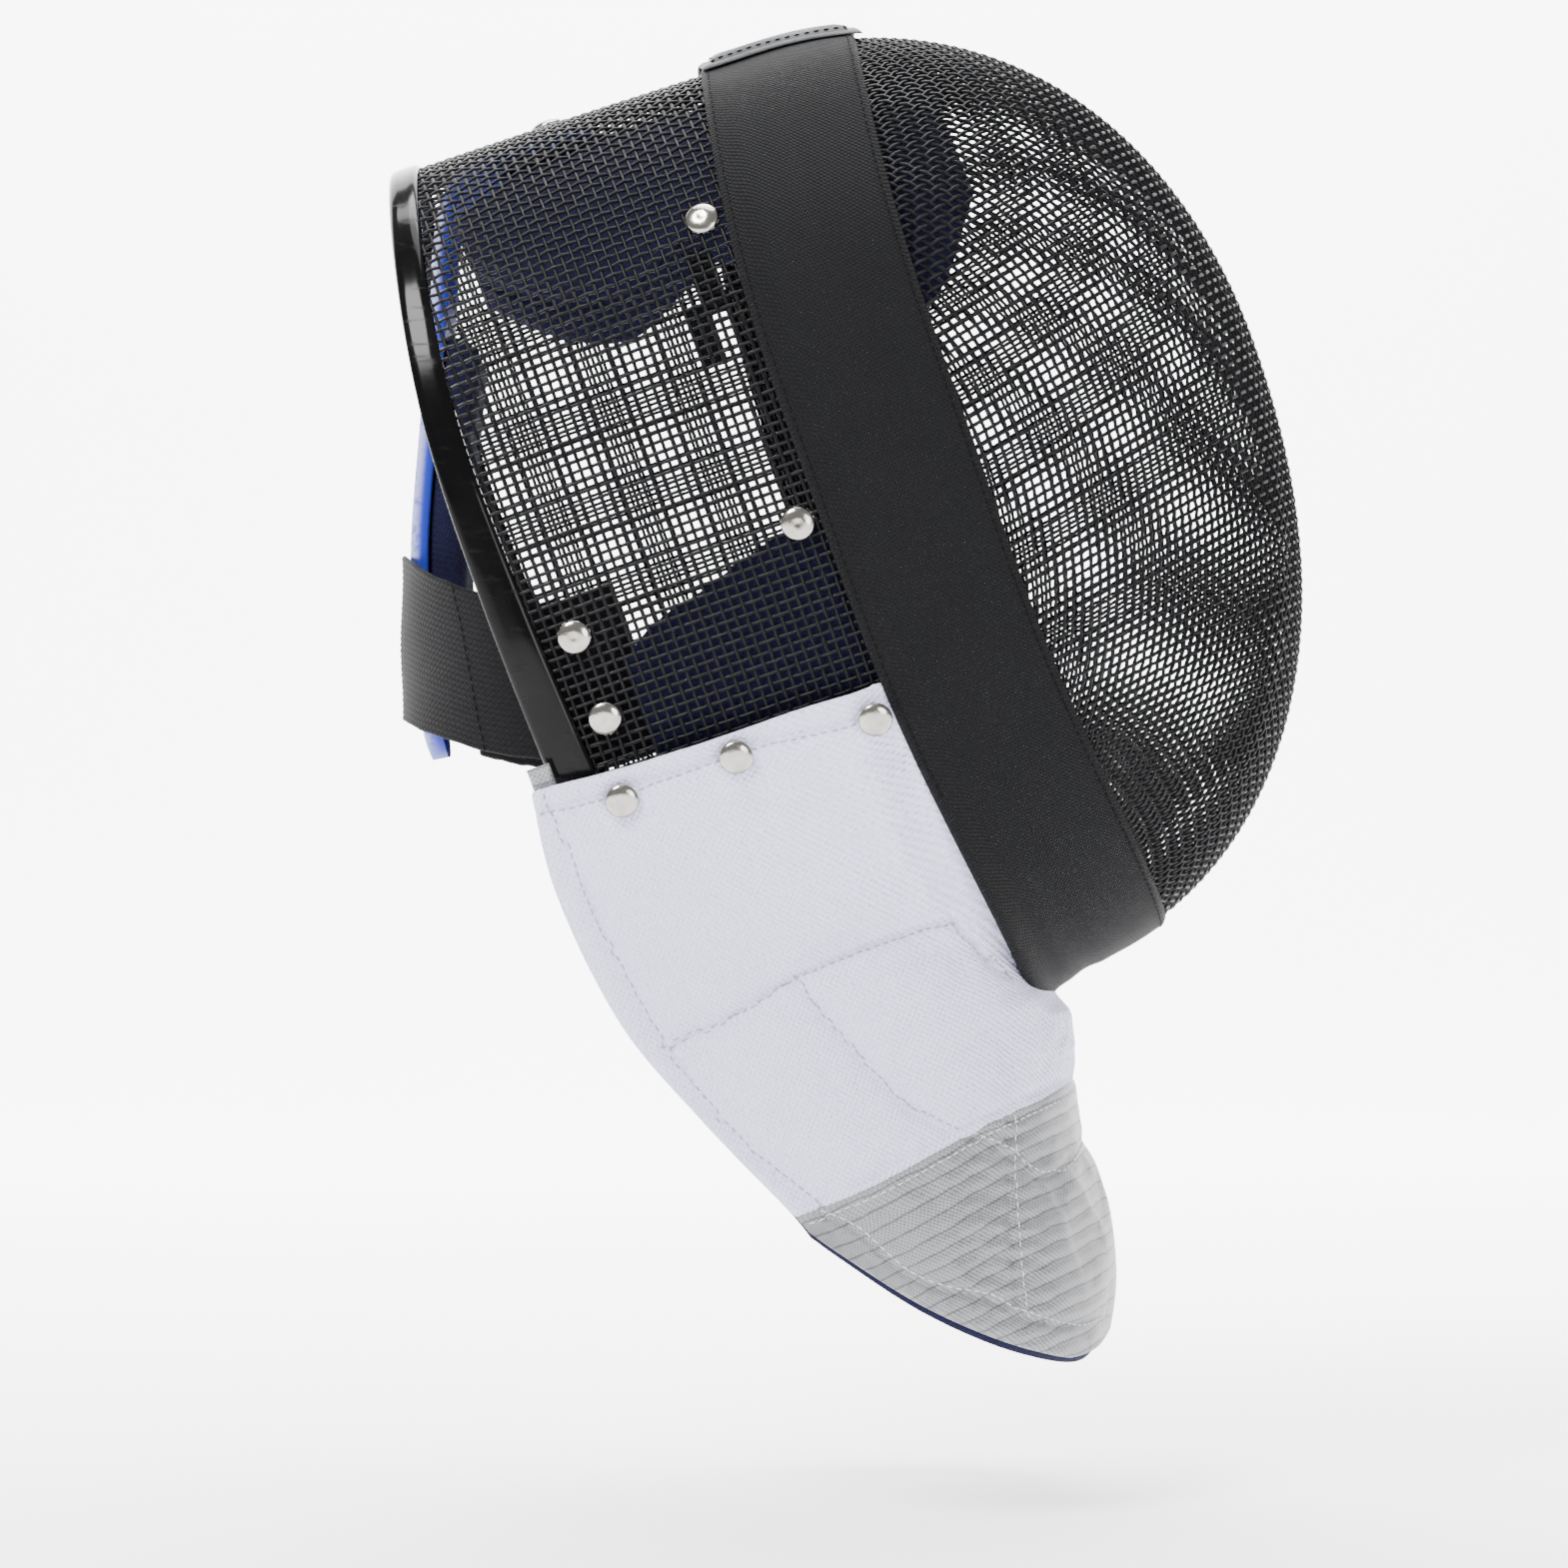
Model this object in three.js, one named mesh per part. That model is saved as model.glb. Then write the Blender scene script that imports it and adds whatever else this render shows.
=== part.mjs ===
// A fencing mask with a wire mesh shell, a padded bib and a conductive lower bib.
// Millimetres. Everything is drawn in the mask's own upright frame, X across, -Y forward
// and +Z up, with the origin where the crown of the head meets the pad.
// At the end the whole mask is pitched back as it sits.

import * as THREE from 'three';
import { mergeVertices } from 'three/addons/utils/BufferGeometryUtils.js';

const degrees = Math.PI / 180;

// Driving dimensions of the mesh shell.
// "fwd" is the distance in front of the head seat, "up" is the height above it.
const pitch = 19.6 * degrees;
const meshThickness = 2;
const shell = {
  joinFwd: 43,
  crownUp: 11,
  crownRearUp: 13.6,
  widestUp: -110,
  chinUp: -283.4,
  halfWidth: 98.5,
  halfWidthRear: 89.5,
  rearFwd: -83.5,
  upperFullness: 2.2,
  lowerFullness: 1.9,
};
const dome = { depth: 120.3, noseUp: -125, fullness: 2.17 };

// The opening's edge: at the crown it stands forward of the sides, and below the jaw
// it swings forward to the chin.
const opening = {
  sideFwd: -83.5,
  crownForward: 16,
  neckForward: 6,
  jawStart: 138 * degrees,
  jawForward: 95,
};
const rim = { crownWidth: 9, jawWidth: 13.5, inside: -3.5, outside: 1.2, roundness: 0.6 };

// Webbing band over the joint between the two meshes, and the patch over its ends.
const band = { rearFwd: 16.5, rearCrown: 15, frontFwd: 65.5, frontCrown: 13, gap: 0.6, thickness: 1.3 };
const patch = { rearFwd: 31, frontFwd: 79.5, halfAngle: 15 * degrees, gap: 0.4, thickness: 2 };

// Spring tongue at the back of the head, its pad and the elastic strap.
const tongue = { width: 56, thickness: 4, dish: 3.8 };
const tonguePad = { width: 52, thickness: 13, gap: 0.4 };
const strap = { width: 50, thickness: 1.8, halfSpan: 79.5, rootFwd: -60, reach: 51.6, rearUp: -120, drop: 30 };
const strapTab = { width: 50, thickness: 1.6, lower: 3 };

// Linings inside the shell, as depths under the outside of the mesh.
const headPad = { outer: -9.7, inner: -13.2, foreheadInner: -19, notch: 19, notchAngle: 24 * degrees };
const jawLining = { outer: -3.3, inner: -7.1, rearFwd: -42, frontFwd: 60 };
const padTab = { outer: -2.8, inner: -4.6, rearFwd: 5, frontFwd: 13, topUp: -45, bottomUp: -64 };

// Bib layers, as distances outside the bib's innermost face.
const bib = { clearance: 0.6, liningThickness: 1, coverInner: 2.7, coverOuter: 5.1, seamGap: 0.4 };
const rivet = { radius: 5, lip: 0.5, height: 2, gap: 0.35 };

// Tongue's centre line, from its end under the crown to its tip behind the neck.
const tongueLine = [
  { fwd: -6, up: 7.2 },
  { fwd: -22, up: 7.7 },
  { fwd: -40, up: 7.7 },
  { fwd: -52, up: 3.5 },
  { fwd: -60, up: -8 },
  { fwd: -68, up: -27 },
  { fwd: -84, up: -62 },
  { fwd: -98.5, up: -95 },
  { fwd: -107, up: -121 },
  { fwd: -114, up: -150 },
  { fwd: -115, up: -158 },
];

// Lower edge of the head pad, from its rear end to the forehead.
const headPadEdge = [
  { fwd: -55, up: -20 },
  { fwd: -40, up: -35 },
  { fwd: -14, up: -46 },
  { fwd: 6, up: -37 },
  { fwd: 20, up: -31 },
  { fwd: 36, up: -48 },
  { fwd: 54, up: -80 },
  { fwd: 72, up: -80 },
  { fwd: 96, up: -52 },
];

// Upper edge of the jaw lining, from behind the ear to the cheek.
const jawLiningEdge = [
  { fwd: -42, up: -146 },
  { fwd: -22, up: -140 },
  { fwd: 10, up: -132 },
  { fwd: 36, up: -136 },
  { fwd: 60, up: -142 },
];

// Outline of the bib in the side view.
const bibHem = [
  { fwd: 16.8, up: -182 },
  { fwd: -8, up: -181 },
  { fwd: -50, up: -180 },
  { fwd: -88.5, up: -177 },
];
const bibThroat = [
  { fwd: 39, up: -287 },
  { fwd: 34, up: -281 },
  { fwd: 28.6, up: -271 },
  { fwd: 21.5, up: -246 },
  { fwd: 18, up: -216 },
  { fwd: 16.8, up: -182 },
];
const bibRearEdge = [
  { fwd: -88.5, up: -177 },
  { fwd: -91.5, up: -203 },
  { fwd: -87, up: -250 },
  { fwd: -74, up: -285 },
  { fwd: -57.7, up: -321 },
];
const bibFrontEdge = [
  { fwd: 39, up: -287 },
  { fwd: 36.5, up: -300 },
  { fwd: 31.5, up: -314 },
  { fwd: 28, up: -330 },
  { fwd: 28.5, up: -349 },
  { fwd: 22.5, up: -376 },
  { fwd: 17, up: -389 },
];
const lameTopEdge = [
  { fwd: 31.5, up: -314 },
  { fwd: 4, up: -315 },
  { fwd: -34, up: -320 },
  { fwd: -57.7, up: -321 },
];
const lameBottomEdge = [
  { fwd: 17, up: -389 },
  { fwd: 8, up: -391 },
  { fwd: -8, up: -381 },
  { fwd: -31, up: -359 },
  { fwd: -50, up: -334 },
  { fwd: -55.5, up: -326 },
];

// How far the hanging bib stands out from the middle at each height.
const bibSpread = [
  { up: -170, halfWidth: 70 },
  { up: -240, halfWidth: 72 },
  { up: -290, halfWidth: 73 },
  { up: -330, halfWidth: 76 },
  { up: -400, halfWidth: 80 },
];
const bibArmFwd = -65;
const bibFullness = 2.1;

// Rivets of one side in the side view, by what each one is pressed onto.
const sideRivets = [
  { name: 'temple', fwd: 14, up: -38, seat: 'mesh' },
  { name: 'cheek', fwd: 10, up: -131, seat: 'mesh' },
  { name: 'strap_upper', fwd: -61.5, up: -140, seat: 'mesh' },
  { name: 'strap_lower', fwd: -61, up: -165, seat: 'mesh' },
  { name: 'bib_rear', fwd: -64, up: -188, seat: 'bib' },
  { name: 'bib_middle', fwd: -29, up: -187, seat: 'bib' },
  { name: 'bib_front', fwd: 12.5, up: -190, seat: 'bib' },
];
const crownRivetFwd = -18;

// Facet counts.
const around = 48;
const domeRows = 11;
const backRows = 7;
const bibColumns = 20;
const rivetSides = 10;

// Small helpers.

function clamp01(value) {
  return Math.min(1, Math.max(0, value));
}

function place(side, fwd, up) {
  return new THREE.Vector3(side, -fwd, up);
}

// Value of one column of a table at a value of another, on a smooth curve.
function lookUp(table, keyColumn, valueColumn, key) {
  const ascending = table[0][keyColumn] < table[table.length - 1][keyColumn];
  const rows = ascending ? table : [...table].reverse();
  let row = 0;
  while (row < rows.length - 2 && key > rows[row + 1][keyColumn]) row += 1;
  const slope = (a, b) => (b[valueColumn] - a[valueColumn]) / (b[keyColumn] - a[keyColumn]);
  const from = rows[row];
  const to = rows[row + 1];
  const before = rows[Math.max(0, row - 1)];
  const after = rows[Math.min(rows.length - 1, row + 2)];
  const span = to[keyColumn] - from[keyColumn];
  const t = clamp01((key - from[keyColumn]) / span);
  return (2 * t ** 3 - 3 * t ** 2 + 1) * from[valueColumn]
    + (t ** 3 - 2 * t ** 2 + t) * span * slope(before, to)
    + (3 * t ** 2 - 2 * t ** 3) * to[valueColumn]
    + (t ** 3 - t ** 2) * span * slope(from, after);
}

// Smooth curve in the side view through the rows of a table.
function sideCurve(table) {
  const points = table.map((row) => new THREE.Vector3(row.fwd, row.up, 0));
  return new THREE.CatmullRomCurve3(points, false, 'centripetal');
}

function superellipse(along, fullness) {
  return Math.pow(Math.max(0, 1 - Math.pow(clamp01(along), fullness)), 1 / fullness);
}

// The mesh shell's outside, one section across the mask at each distance forward.

function backShare(fwd) {
  return clamp01((shell.joinFwd - fwd) / (shell.joinFwd - shell.rearFwd));
}

function sectionSize(fwd) {
  const share = backShare(fwd);
  const crownUp = shell.crownUp + (shell.crownRearUp - shell.crownUp) * Math.sin(share * Math.PI / 2);
  return {
    halfWidth: shell.halfWidth - (shell.halfWidth - shell.halfWidthRear) * Math.pow(share, 1.6),
    upper: crownUp - shell.widestUp,
    lower: shell.widestUp - shell.chinUp,
  };
}

// Radius of the section in the direction "angle", measured from straight up.
function sectionRadius(size, angle) {
  const height = Math.cos(angle) > 0 ? size.upper : size.lower;
  const fullness = Math.cos(angle) > 0 ? shell.upperFullness : shell.lowerFullness;
  const across = Math.pow(Math.abs(Math.sin(angle)) / size.halfWidth, fullness);
  const upright = Math.pow(Math.abs(Math.cos(angle)) / height, fullness);
  return Math.pow(across + upright, -1 / fullness);
}

// "turn" below 0 lies behind the join, from 0 to 1 it runs over the dome to the nose.
function shellSurface(turn, angle) {
  const quarter = clamp01(turn) * Math.PI / 2;
  const fwd = turn < 0
    ? shell.joinFwd + turn * (shell.joinFwd - shell.rearFwd)
    : shell.joinFwd + dome.depth * Math.pow(Math.sin(quarter), 2 / dome.fullness);
  const radius = sectionRadius(sectionSize(fwd), angle);
  const shrink = turn < 0 ? 1 : Math.pow(Math.max(0, Math.cos(quarter)), 2 / dome.fullness);
  const up = shell.widestUp + radius * Math.cos(angle);
  return place(
    shrink * radius * Math.sin(angle),
    fwd,
    dome.noseUp + shrink * (up - dome.noseUp),
  );
}

function turnAt(fwd) {
  const ahead = fwd - shell.joinFwd;
  if (ahead <= 0) return ahead / (shell.joinFwd - shell.rearFwd);
  const sine = Math.pow(clamp01(ahead / dome.depth), dome.fullness / 2);
  return Math.asin(sine) / (Math.PI / 2);
}

function surfaceNormal(surface, first, second, step = 1e-3) {
  const alongFirst = surface(first + step, second).sub(surface(first - step, second));
  const alongSecond = surface(first, second + step).sub(surface(first, second - step));
  return alongFirst.cross(alongSecond).normalize();
}

function shellNormal(turn, angle) {
  if (turn > 0.995) return place(0, 1, 0);
  return surfaceNormal(shellSurface, turn, angle);
}

// Point at a depth from the shell's outside, positive outwards.
function onShell(turn, angle, offset) {
  return shellSurface(turn, angle).addScaledVector(shellNormal(turn, angle), offset);
}

// Half width of the shell at a place in the side view, behind the join.
function shellHalfWidth(fwd, up, offset) {
  const size = sectionSize(fwd);
  const above = up > shell.widestUp;
  const height = (above ? size.upper : size.lower) + offset;
  const fullness = above ? shell.upperFullness : shell.lowerFullness;
  return (size.halfWidth + offset) * superellipse(Math.abs(up - shell.widestUp) / height, fullness);
}

// Direction in which the shell has a given height, found by halving.
function angleAtUp(turn, up) {
  let low = 0;
  let high = Math.PI;
  for (let step = 0; step < 30; step += 1) {
    const middle = (low + high) / 2;
    if (shellSurface(turn, middle).z > up) low = middle;
    else high = middle;
  }
  return (low + high) / 2;
}

// Closed solids from grids of points.

function finish(positions, triangles) {
  const geometry = new THREE.BufferGeometry();
  geometry.setAttribute('position', new THREE.Float32BufferAttribute(positions.flatMap((p) => p.toArray()), 3));
  geometry.setIndex(triangles.flat());
  const merged = mergeVertices(geometry, 1e-4);
  const index = [...merged.index.array];
  const kept = [];
  for (let i = 0; i < index.length; i += 3) {
    const [a, b, c] = index.slice(i, i + 3);
    if (a !== b && b !== c && c !== a) kept.push(a, b, c);
  }
  const at = (i) => new THREE.Vector3().fromBufferAttribute(merged.attributes.position, i);
  let volume = 0;
  for (let i = 0; i < kept.length; i += 3) {
    volume += at(kept[i]).dot(at(kept[i + 1]).cross(at(kept[i + 2])));
  }
  if (volume < 0) {
    for (let i = 0; i < kept.length; i += 3) [kept[i + 1], kept[i + 2]] = [kept[i + 2], kept[i + 1]];
  }
  merged.setIndex(kept);
  merged.computeVertexNormals();
  return merged;
}

// A wall between two faces, each a grid of rows and columns. face(row, column, outer)
// gives a point for shares from 0 to 1. A closed wall's last column is its first.
function wall(rows, columns, face, closed = false) {
  const positions = [];
  const triangles = [];
  const stride = columns + 1;
  const layer = (rows + 1) * stride;
  for (const outer of [false, true]) {
    for (let row = 0; row <= rows; row += 1) {
      for (let column = 0; column <= columns; column += 1) {
        const wrapped = closed && column === columns ? 0 : column;
        positions.push(face(row / rows, wrapped / columns, outer));
      }
    }
  }
  const quad = (a, b, c, d) => triangles.push([a, b, c], [a, c, d]);
  for (let row = 0; row < rows; row += 1) {
    for (let column = 0; column < columns; column += 1) {
      const a = row * stride + column;
      quad(a, a + 1, a + stride + 1, a + stride);
      quad(layer + a, layer + a + stride, layer + a + stride + 1, layer + a + 1);
    }
  }
  for (let column = 0; column < columns; column += 1) {
    const last = rows * stride + column;
    quad(column, layer + column, layer + column + 1, column + 1);
    quad(last, last + 1, layer + last + 1, layer + last);
  }
  if (!closed) {
    for (let row = 0; row < rows; row += 1) {
      const first = row * stride;
      const last = first + columns;
      quad(first, first + stride, layer + first + stride, layer + first);
      quad(last, layer + last, layer + last + stride, last + stride);
    }
  }
  return finish(positions, triangles);
}

// A bar whose section's points are given at each station, capped unless it closes on itself.
function bar(sections, closed = false) {
  const positions = sections.flat();
  const triangles = [];
  const sides = sections[0].length;
  const spans = closed ? sections.length : sections.length - 1;
  for (let span = 0; span < spans; span += 1) {
    const here = span * sides;
    const next = ((span + 1) % sections.length) * sides;
    for (let side = 0; side < sides; side += 1) {
      const after = (side + 1) % sides;
      triangles.push([here + side, next + side, next + after], [here + side, next + after, here + after]);
    }
  }
  if (!closed) {
    const last = (sections.length - 1) * sides;
    for (let side = 1; side < sides - 1; side += 1) {
      triangles.push([0, side, side + 1], [last, last + side + 1, last + side]);
    }
  }
  return finish(positions, triangles);
}

// A strip of even thickness along a row of centres, each with its own width direction.
function ribbon(stations, width, thickness) {
  const sections = stations.map(({ centre, across }, i) => {
    const before = stations[Math.max(0, i - 1)].centre;
    const after = stations[Math.min(stations.length - 1, i + 1)].centre;
    const tangent = after.clone().sub(before).normalize();
    const normal = tangent.clone().cross(across).normalize();
    const corners = [[-1, -1], [1, -1], [1, 1], [-1, 1]];
    return corners.map(([a, b]) => centre.clone()
      .addScaledVector(across, a * width / 2)
      .addScaledVector(normal, b * thickness / 2));
  });
  return bar(sections);
}

const mask = new THREE.Group();
mask.rotation.x = -pitch;

const finishes = {
  meshPaint: { color: 0x1b1c1f, roughness: 0.45, metalness: 0.1 },
  rimPvc: { color: 0x0d0e10, roughness: 0.15, metalness: 0 },
  webbing: { color: 0x242426, roughness: 0.9, metalness: 0 },
  vinyl: { color: 0x4a4e54, roughness: 0.6, metalness: 0 },
  nickel: { color: 0xc9c6c0, roughness: 0.15, metalness: 1 },
  bluePvc: { color: 0x3b4fb0, roughness: 0.3, metalness: 0 },
  elastic: { color: 0x2c2d30, roughness: 0.9, metalness: 0 },
  navyCloth: { color: 0x23265a, roughness: 0.95, metalness: 0 },
  whiteCloth: { color: 0xdfe0f4, roughness: 0.9, metalness: 0 },
  lame: { color: 0xc4c5c6, roughness: 0.5, metalness: 0.4 },
};

function addPiece(name, geometry, finishName) {
  const mesh = new THREE.Mesh(geometry, new THREE.MeshStandardMaterial(finishes[finishName]));
  mesh.name = name;
  mask.add(mesh);
}

// Edge of the opening and the width of the rim along it.

function openingEdge(angle) {
  const turned = Math.abs(Math.PI - ((angle + 2 * Math.PI) % (2 * Math.PI)));
  const fromTop = Math.PI - turned;
  const jawShare = clamp01((fromTop - opening.jawStart) / (Math.PI - opening.jawStart));
  const swing = opening.jawForward * Math.sin(Math.PI / 2 * Math.pow(jawShare, 1.15));
  const lean = Math.cos(angle) > 0 ? opening.crownForward : opening.neckForward;
  return opening.sideFwd + lean * Math.abs(Math.cos(angle)) ** 3 + swing;
}

function rimWidth(angle) {
  return rim.jawWidth + (rim.crownWidth - rim.jawWidth) * clamp01(0.5 + 0.7 * Math.cos(angle));
}

function edgePoint(angle, offset) {
  return onShell(turnAt(openingEdge(angle)), angle, offset);
}

function edgeFrame(angle) {
  const step = 0.01;
  const tangent = edgePoint(angle + step, 0).sub(edgePoint(angle - step, 0)).normalize();
  const normal = shellNormal(turnAt(openingEdge(angle)), angle);
  const inward = tangent.clone().cross(normal).normalize();
  if (inward.dot(place(0, 1, 0)) < 0) inward.negate();
  return { origin: edgePoint(angle, 0), inward, normal };
}

// Distance forward at which the mesh leaves the rim.
function meshStart(angle) {
  const { inward } = edgeFrame(angle);
  const forwardShare = Math.max(0.35, inward.dot(place(0, 1, 0)));
  return openingEdge(angle) + (rimWidth(angle) + 1) / forwardShare;
}

function addMeshes() {
  const facing = (row, column, outer) => onShell(row, column * 2 * Math.PI, outer ? 0 : -meshThickness);
  addPiece('face_mesh', wall(domeRows, around, facing, true), 'meshPaint');
  const behind = (row, column, outer) => {
    const angle = column * 2 * Math.PI;
    const join = shell.joinFwd - 0.4;
    const fwd = join + (meshStart(angle) - join) * row;
    return onShell(turnAt(fwd), angle, outer ? 0 : -meshThickness);
  };
  addPiece('back_mesh', wall(backRows, around, behind, true), 'meshPaint');
}

function addRim() {
  const corner = rim.roundness;
  const sections = [];
  for (let station = 0; station < 72; station += 1) {
    const angle = station / 72 * 2 * Math.PI;
    const { origin, inward, normal } = edgeFrame(angle);
    const width = rimWidth(angle);
    const outline = [
      [0, rim.inside + corner], [corner, rim.inside], [width, rim.inside + corner],
      [width, rim.outside - corner], [corner, rim.outside], [0, rim.outside - corner],
    ];
    sections.push(outline.map(([a, b]) => origin.clone().addScaledVector(inward, a).addScaledVector(normal, b)));
  }
  addPiece('rim_trim', bar(sections, true), 'rimPvc');
}

// The band's edges stand forward at the crown, and again only right under the chin.
function bandEdge(edgeFwd, crownShift, angle) {
  const power = Math.cos(angle) > 0 ? 3 : 6;
  return edgeFwd + crownShift * Math.abs(Math.cos(angle)) ** power;
}

function addBand() {
  const face = (row, column, outer) => {
    const angle = column * 2 * Math.PI;
    const rear = bandEdge(band.rearFwd, band.rearCrown, angle);
    const front = bandEdge(band.frontFwd, band.frontCrown, angle);
    return onShell(turnAt(rear + (front - rear) * row), angle, band.gap + (outer ? band.thickness : 0));
  };
  addPiece('joint_band', wall(3, around, face, true), 'webbing');
  const under = band.gap + band.thickness + patch.gap;
  const cover = (row, column, outer) => {
    const angle = patch.halfAngle * (2 * column - 1);
    const fwd = patch.rearFwd + (patch.frontFwd - patch.rearFwd) * row;
    return onShell(turnAt(fwd), angle, under + (outer ? patch.thickness : 0));
  };
  addPiece('crown_patch', wall(6, 6, cover), 'vinyl');
}

function addTongue() {
  const line = sideCurve(tongueLine);
  const steps = 22;
  const stations = [];
  for (let step = 0; step <= steps; step += 1) {
    const share = step / steps;
    const point = line.getPointAt(share);
    const tangent = line.getTangentAt(share);
    // The tip is rounded, and the strip is dished across its width.
    const tip = Math.min(1, Math.sqrt(1 - Math.pow(Math.max(0, (share - 0.9) / 0.1), 2) * 0.85));
    const root = Math.min(1, Math.sqrt(1 - Math.pow(Math.max(0, (0.06 - share) / 0.06), 2) * 0.6));
    stations.push({ point, normal: [-tangent.y, tangent.x], size: Math.min(tip, root) });
  }
  const section = (station, width, near, far) => {
    const outline = [];
    for (const [depth, order] of [[near, [-1, -0.5, 0, 0.5, 1]], [far, [1, 0.5, 0, -0.5, -1]]]) {
      for (const side of order) {
        const out = depth + tongue.dish * side * side;
        const { point, normal } = station;
        const x = side * width / 2 * station.size;
        outline.push(place(x, point.x + normal[0] * out, point.y + normal[1] * out));
      }
    }
    return outline;
  };
  // The normal of the line points to the inside of the mask.
  const half = tongue.thickness / 2;
  const blade = stations.map((station) => section(station, tongue.width, -half, half));
  addPiece('back_tongue', bar(blade), 'bluePvc');
  const padded = stations.slice(9, 19).map((station, i, list) => {
    const end = Math.min(i, list.length - 1 - i);
    const depth = end === 0 ? tonguePad.thickness * 0.45 : tonguePad.thickness;
    const near = half + tonguePad.gap;
    return section({ ...station, size: 1 }, tonguePad.width, near, near + depth);
  });
  addPiece('tongue_pad', bar(padded), 'navyCloth');
}

// Centre and width direction of the strap, from side -1 (right) through 0 to 1 (left).
function strapStation(side, inset, lower) {
  const angle = side * Math.PI / 2;
  const x = (strap.halfSpan - inset) * Math.sin(angle);
  const fwd = strap.rootFwd - (strap.reach - inset) * Math.cos(angle);
  const up = strap.rearUp - strap.drop * Math.sin(angle) ** 2 - lower;
  const lean = pitch * Math.cos(angle) ** 2;
  return { centre: place(x, fwd, up), across: place(0, Math.sin(lean), Math.cos(lean)) };
}

function addStrap() {
  const stations = [];
  for (let step = 0; step <= 28; step += 1) {
    stations.push(strapStation((step / 28 * 2 - 1) * 0.9, 0, 0));
  }
  addPiece('back_strap', ribbon(stations, strap.width, strap.thickness), 'elastic');
  for (const [name, sign] of [['right', -1], ['left', 1]]) {
    const under = [];
    for (let step = 0; step <= 6; step += 1) {
      under.push(strapStation(sign * (0.5 + 0.5 * step / 6), 2.2, strapTab.lower));
    }
    const end = strapStation(sign, 2.2, strapTab.lower);
    end.centre.add(place(sign * 2.6, 14, 0));
    under.push(end);
    addPiece(`strap_tab_${name}`, ribbon(under, strapTab.width, strapTab.thickness), 'elastic');
  }
}

function addLinings() {
  const rearFwd = headPadEdge[0].fwd;
  const frontFwd = headPadEdge[headPadEdge.length - 1].fwd;
  const crown = (row, column, outer) => {
    const along = rearFwd + (frontFwd - rearFwd) * row;
    const reach = angleAtUp(turnAt(along), lookUp(headPadEdge, 'fwd', 'up', along));
    const angle = reach * (2 * column - 1);
    // The rear end is notched where the tongue turns down.
    const notch = headPad.notch * Math.sin(Math.PI / 2 * clamp01(2 * (1 - Math.abs(angle) / headPad.notchAngle)));
    const fwd = along + notch * (1 - row);
    const forehead = clamp01((fwd - shell.joinFwd / 2) / shell.joinFwd);
    const inner = headPad.inner + (headPad.foreheadInner - headPad.inner) * forehead;
    return onShell(turnAt(fwd), angle, outer ? headPad.outer : inner);
  };
  addPiece('head_pad', wall(11, 20, crown), 'navyCloth');
  for (const [name, sign] of [['right', -1], ['left', 1]]) {
    const jaw = (row, column, outer) => {
      const fwd = jawLining.rearFwd + (jawLining.frontFwd - jawLining.rearFwd) * row;
      const turn = turnAt(fwd);
      const top = angleAtUp(turn, lookUp(jawLiningEdge, 'fwd', 'up', fwd));
      const low = lowestAngle(fwd);
      const angle = sign * (top + (low - top) * column);
      return onShell(turn, angle, outer ? jawLining.outer : jawLining.inner);
    };
    addPiece(`jaw_lining_${name}`, wall(9, 10, jaw), 'navyCloth');
    const tab = (row, column, outer) => {
      const turn = turnAt(padTab.rearFwd + (padTab.frontFwd - padTab.rearFwd) * row);
      const angle = angleAtUp(turn, padTab.topUp + (padTab.bottomUp - padTab.topUp) * column);
      return onShell(turn, sign * angle, outer ? padTab.outer : padTab.inner);
    };
    addPiece(`pad_tab_${name}`, wall(1, 3, tab), 'webbing');
  }
}

// Lowest direction at which the mesh is still there at a distance forward.
function lowestAngle(fwd) {
  const end = 172 * degrees;
  let angle = 100 * degrees;
  while (angle < end && meshStart(angle) + 1 < fwd) angle += 0.5 * degrees;
  return Math.min(angle, end);
}

// The bib is a sheet over a four sided outline in the side view, mirrored about the
// middle. Where it lies on the shell it follows the shell, and below it hangs free.

function bibHalfWidth(fwd, up) {
  const onMesh = shellHalfWidth(Math.max(fwd, shell.rearFwd), up, bib.clearance);
  const front = lookUp(bibFrontEdge, 'up', 'fwd', up);
  const reach = (fwd - bibArmFwd) / (front - bibArmFwd);
  const hanging = lookUp(bibSpread, 'up', 'halfWidth', up) * superellipse(Math.max(0, reach), bibFullness);
  const power = 8;
  return Math.pow(onMesh ** power + hanging ** power, 1 / power);
}

// A place in the outline: "down" from the top edge to the bottom edge and "back" from
// the front edge to the rear edge, blended between the four edges.
function bibPlace(edges, down, back) {
  const top = edges.top(back);
  const bottom = edges.bottom(back);
  const front = edges.front(down);
  const rear = edges.rear(down);
  const corners = [edges.top(0), edges.top(1), edges.bottom(0), edges.bottom(1)];
  const blend = (key) => (1 - down) * top[key] + down * bottom[key]
    + (1 - back) * front[key] + back * rear[key]
    - (1 - down) * ((1 - back) * corners[0][key] + back * corners[1][key])
    - down * ((1 - back) * corners[2][key] + back * corners[3][key]);
  return { fwd: blend('x'), up: blend('y') };
}

function bibSurface(edges, down, across) {
  const back = across * across;
  const { fwd, up } = bibPlace(edges, down, back);
  return place(Math.sign(across) * bibHalfWidth(fwd, up), fwd, up);
}

function bibLayer(edges, rows, inner, outer) {
  const surface = (down, across) => bibSurface(edges, down, across);
  return wall(rows, 2 * bibColumns, (row, column, isOuter) => {
    const across = column * 2 - 1;
    const normal = surfaceNormal(surface, row * 0.998 + 0.001, across * 0.998, 1e-3);
    if (Math.abs(across) < 1e-6) normal.setX(0).normalize();
    return surface(row, across).addScaledVector(normal, isOuter ? outer : inner);
  });
}

function curveOf(table) {
  const curve = sideCurve(table);
  return (share) => curve.getPointAt(clamp01(share));
}

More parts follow.
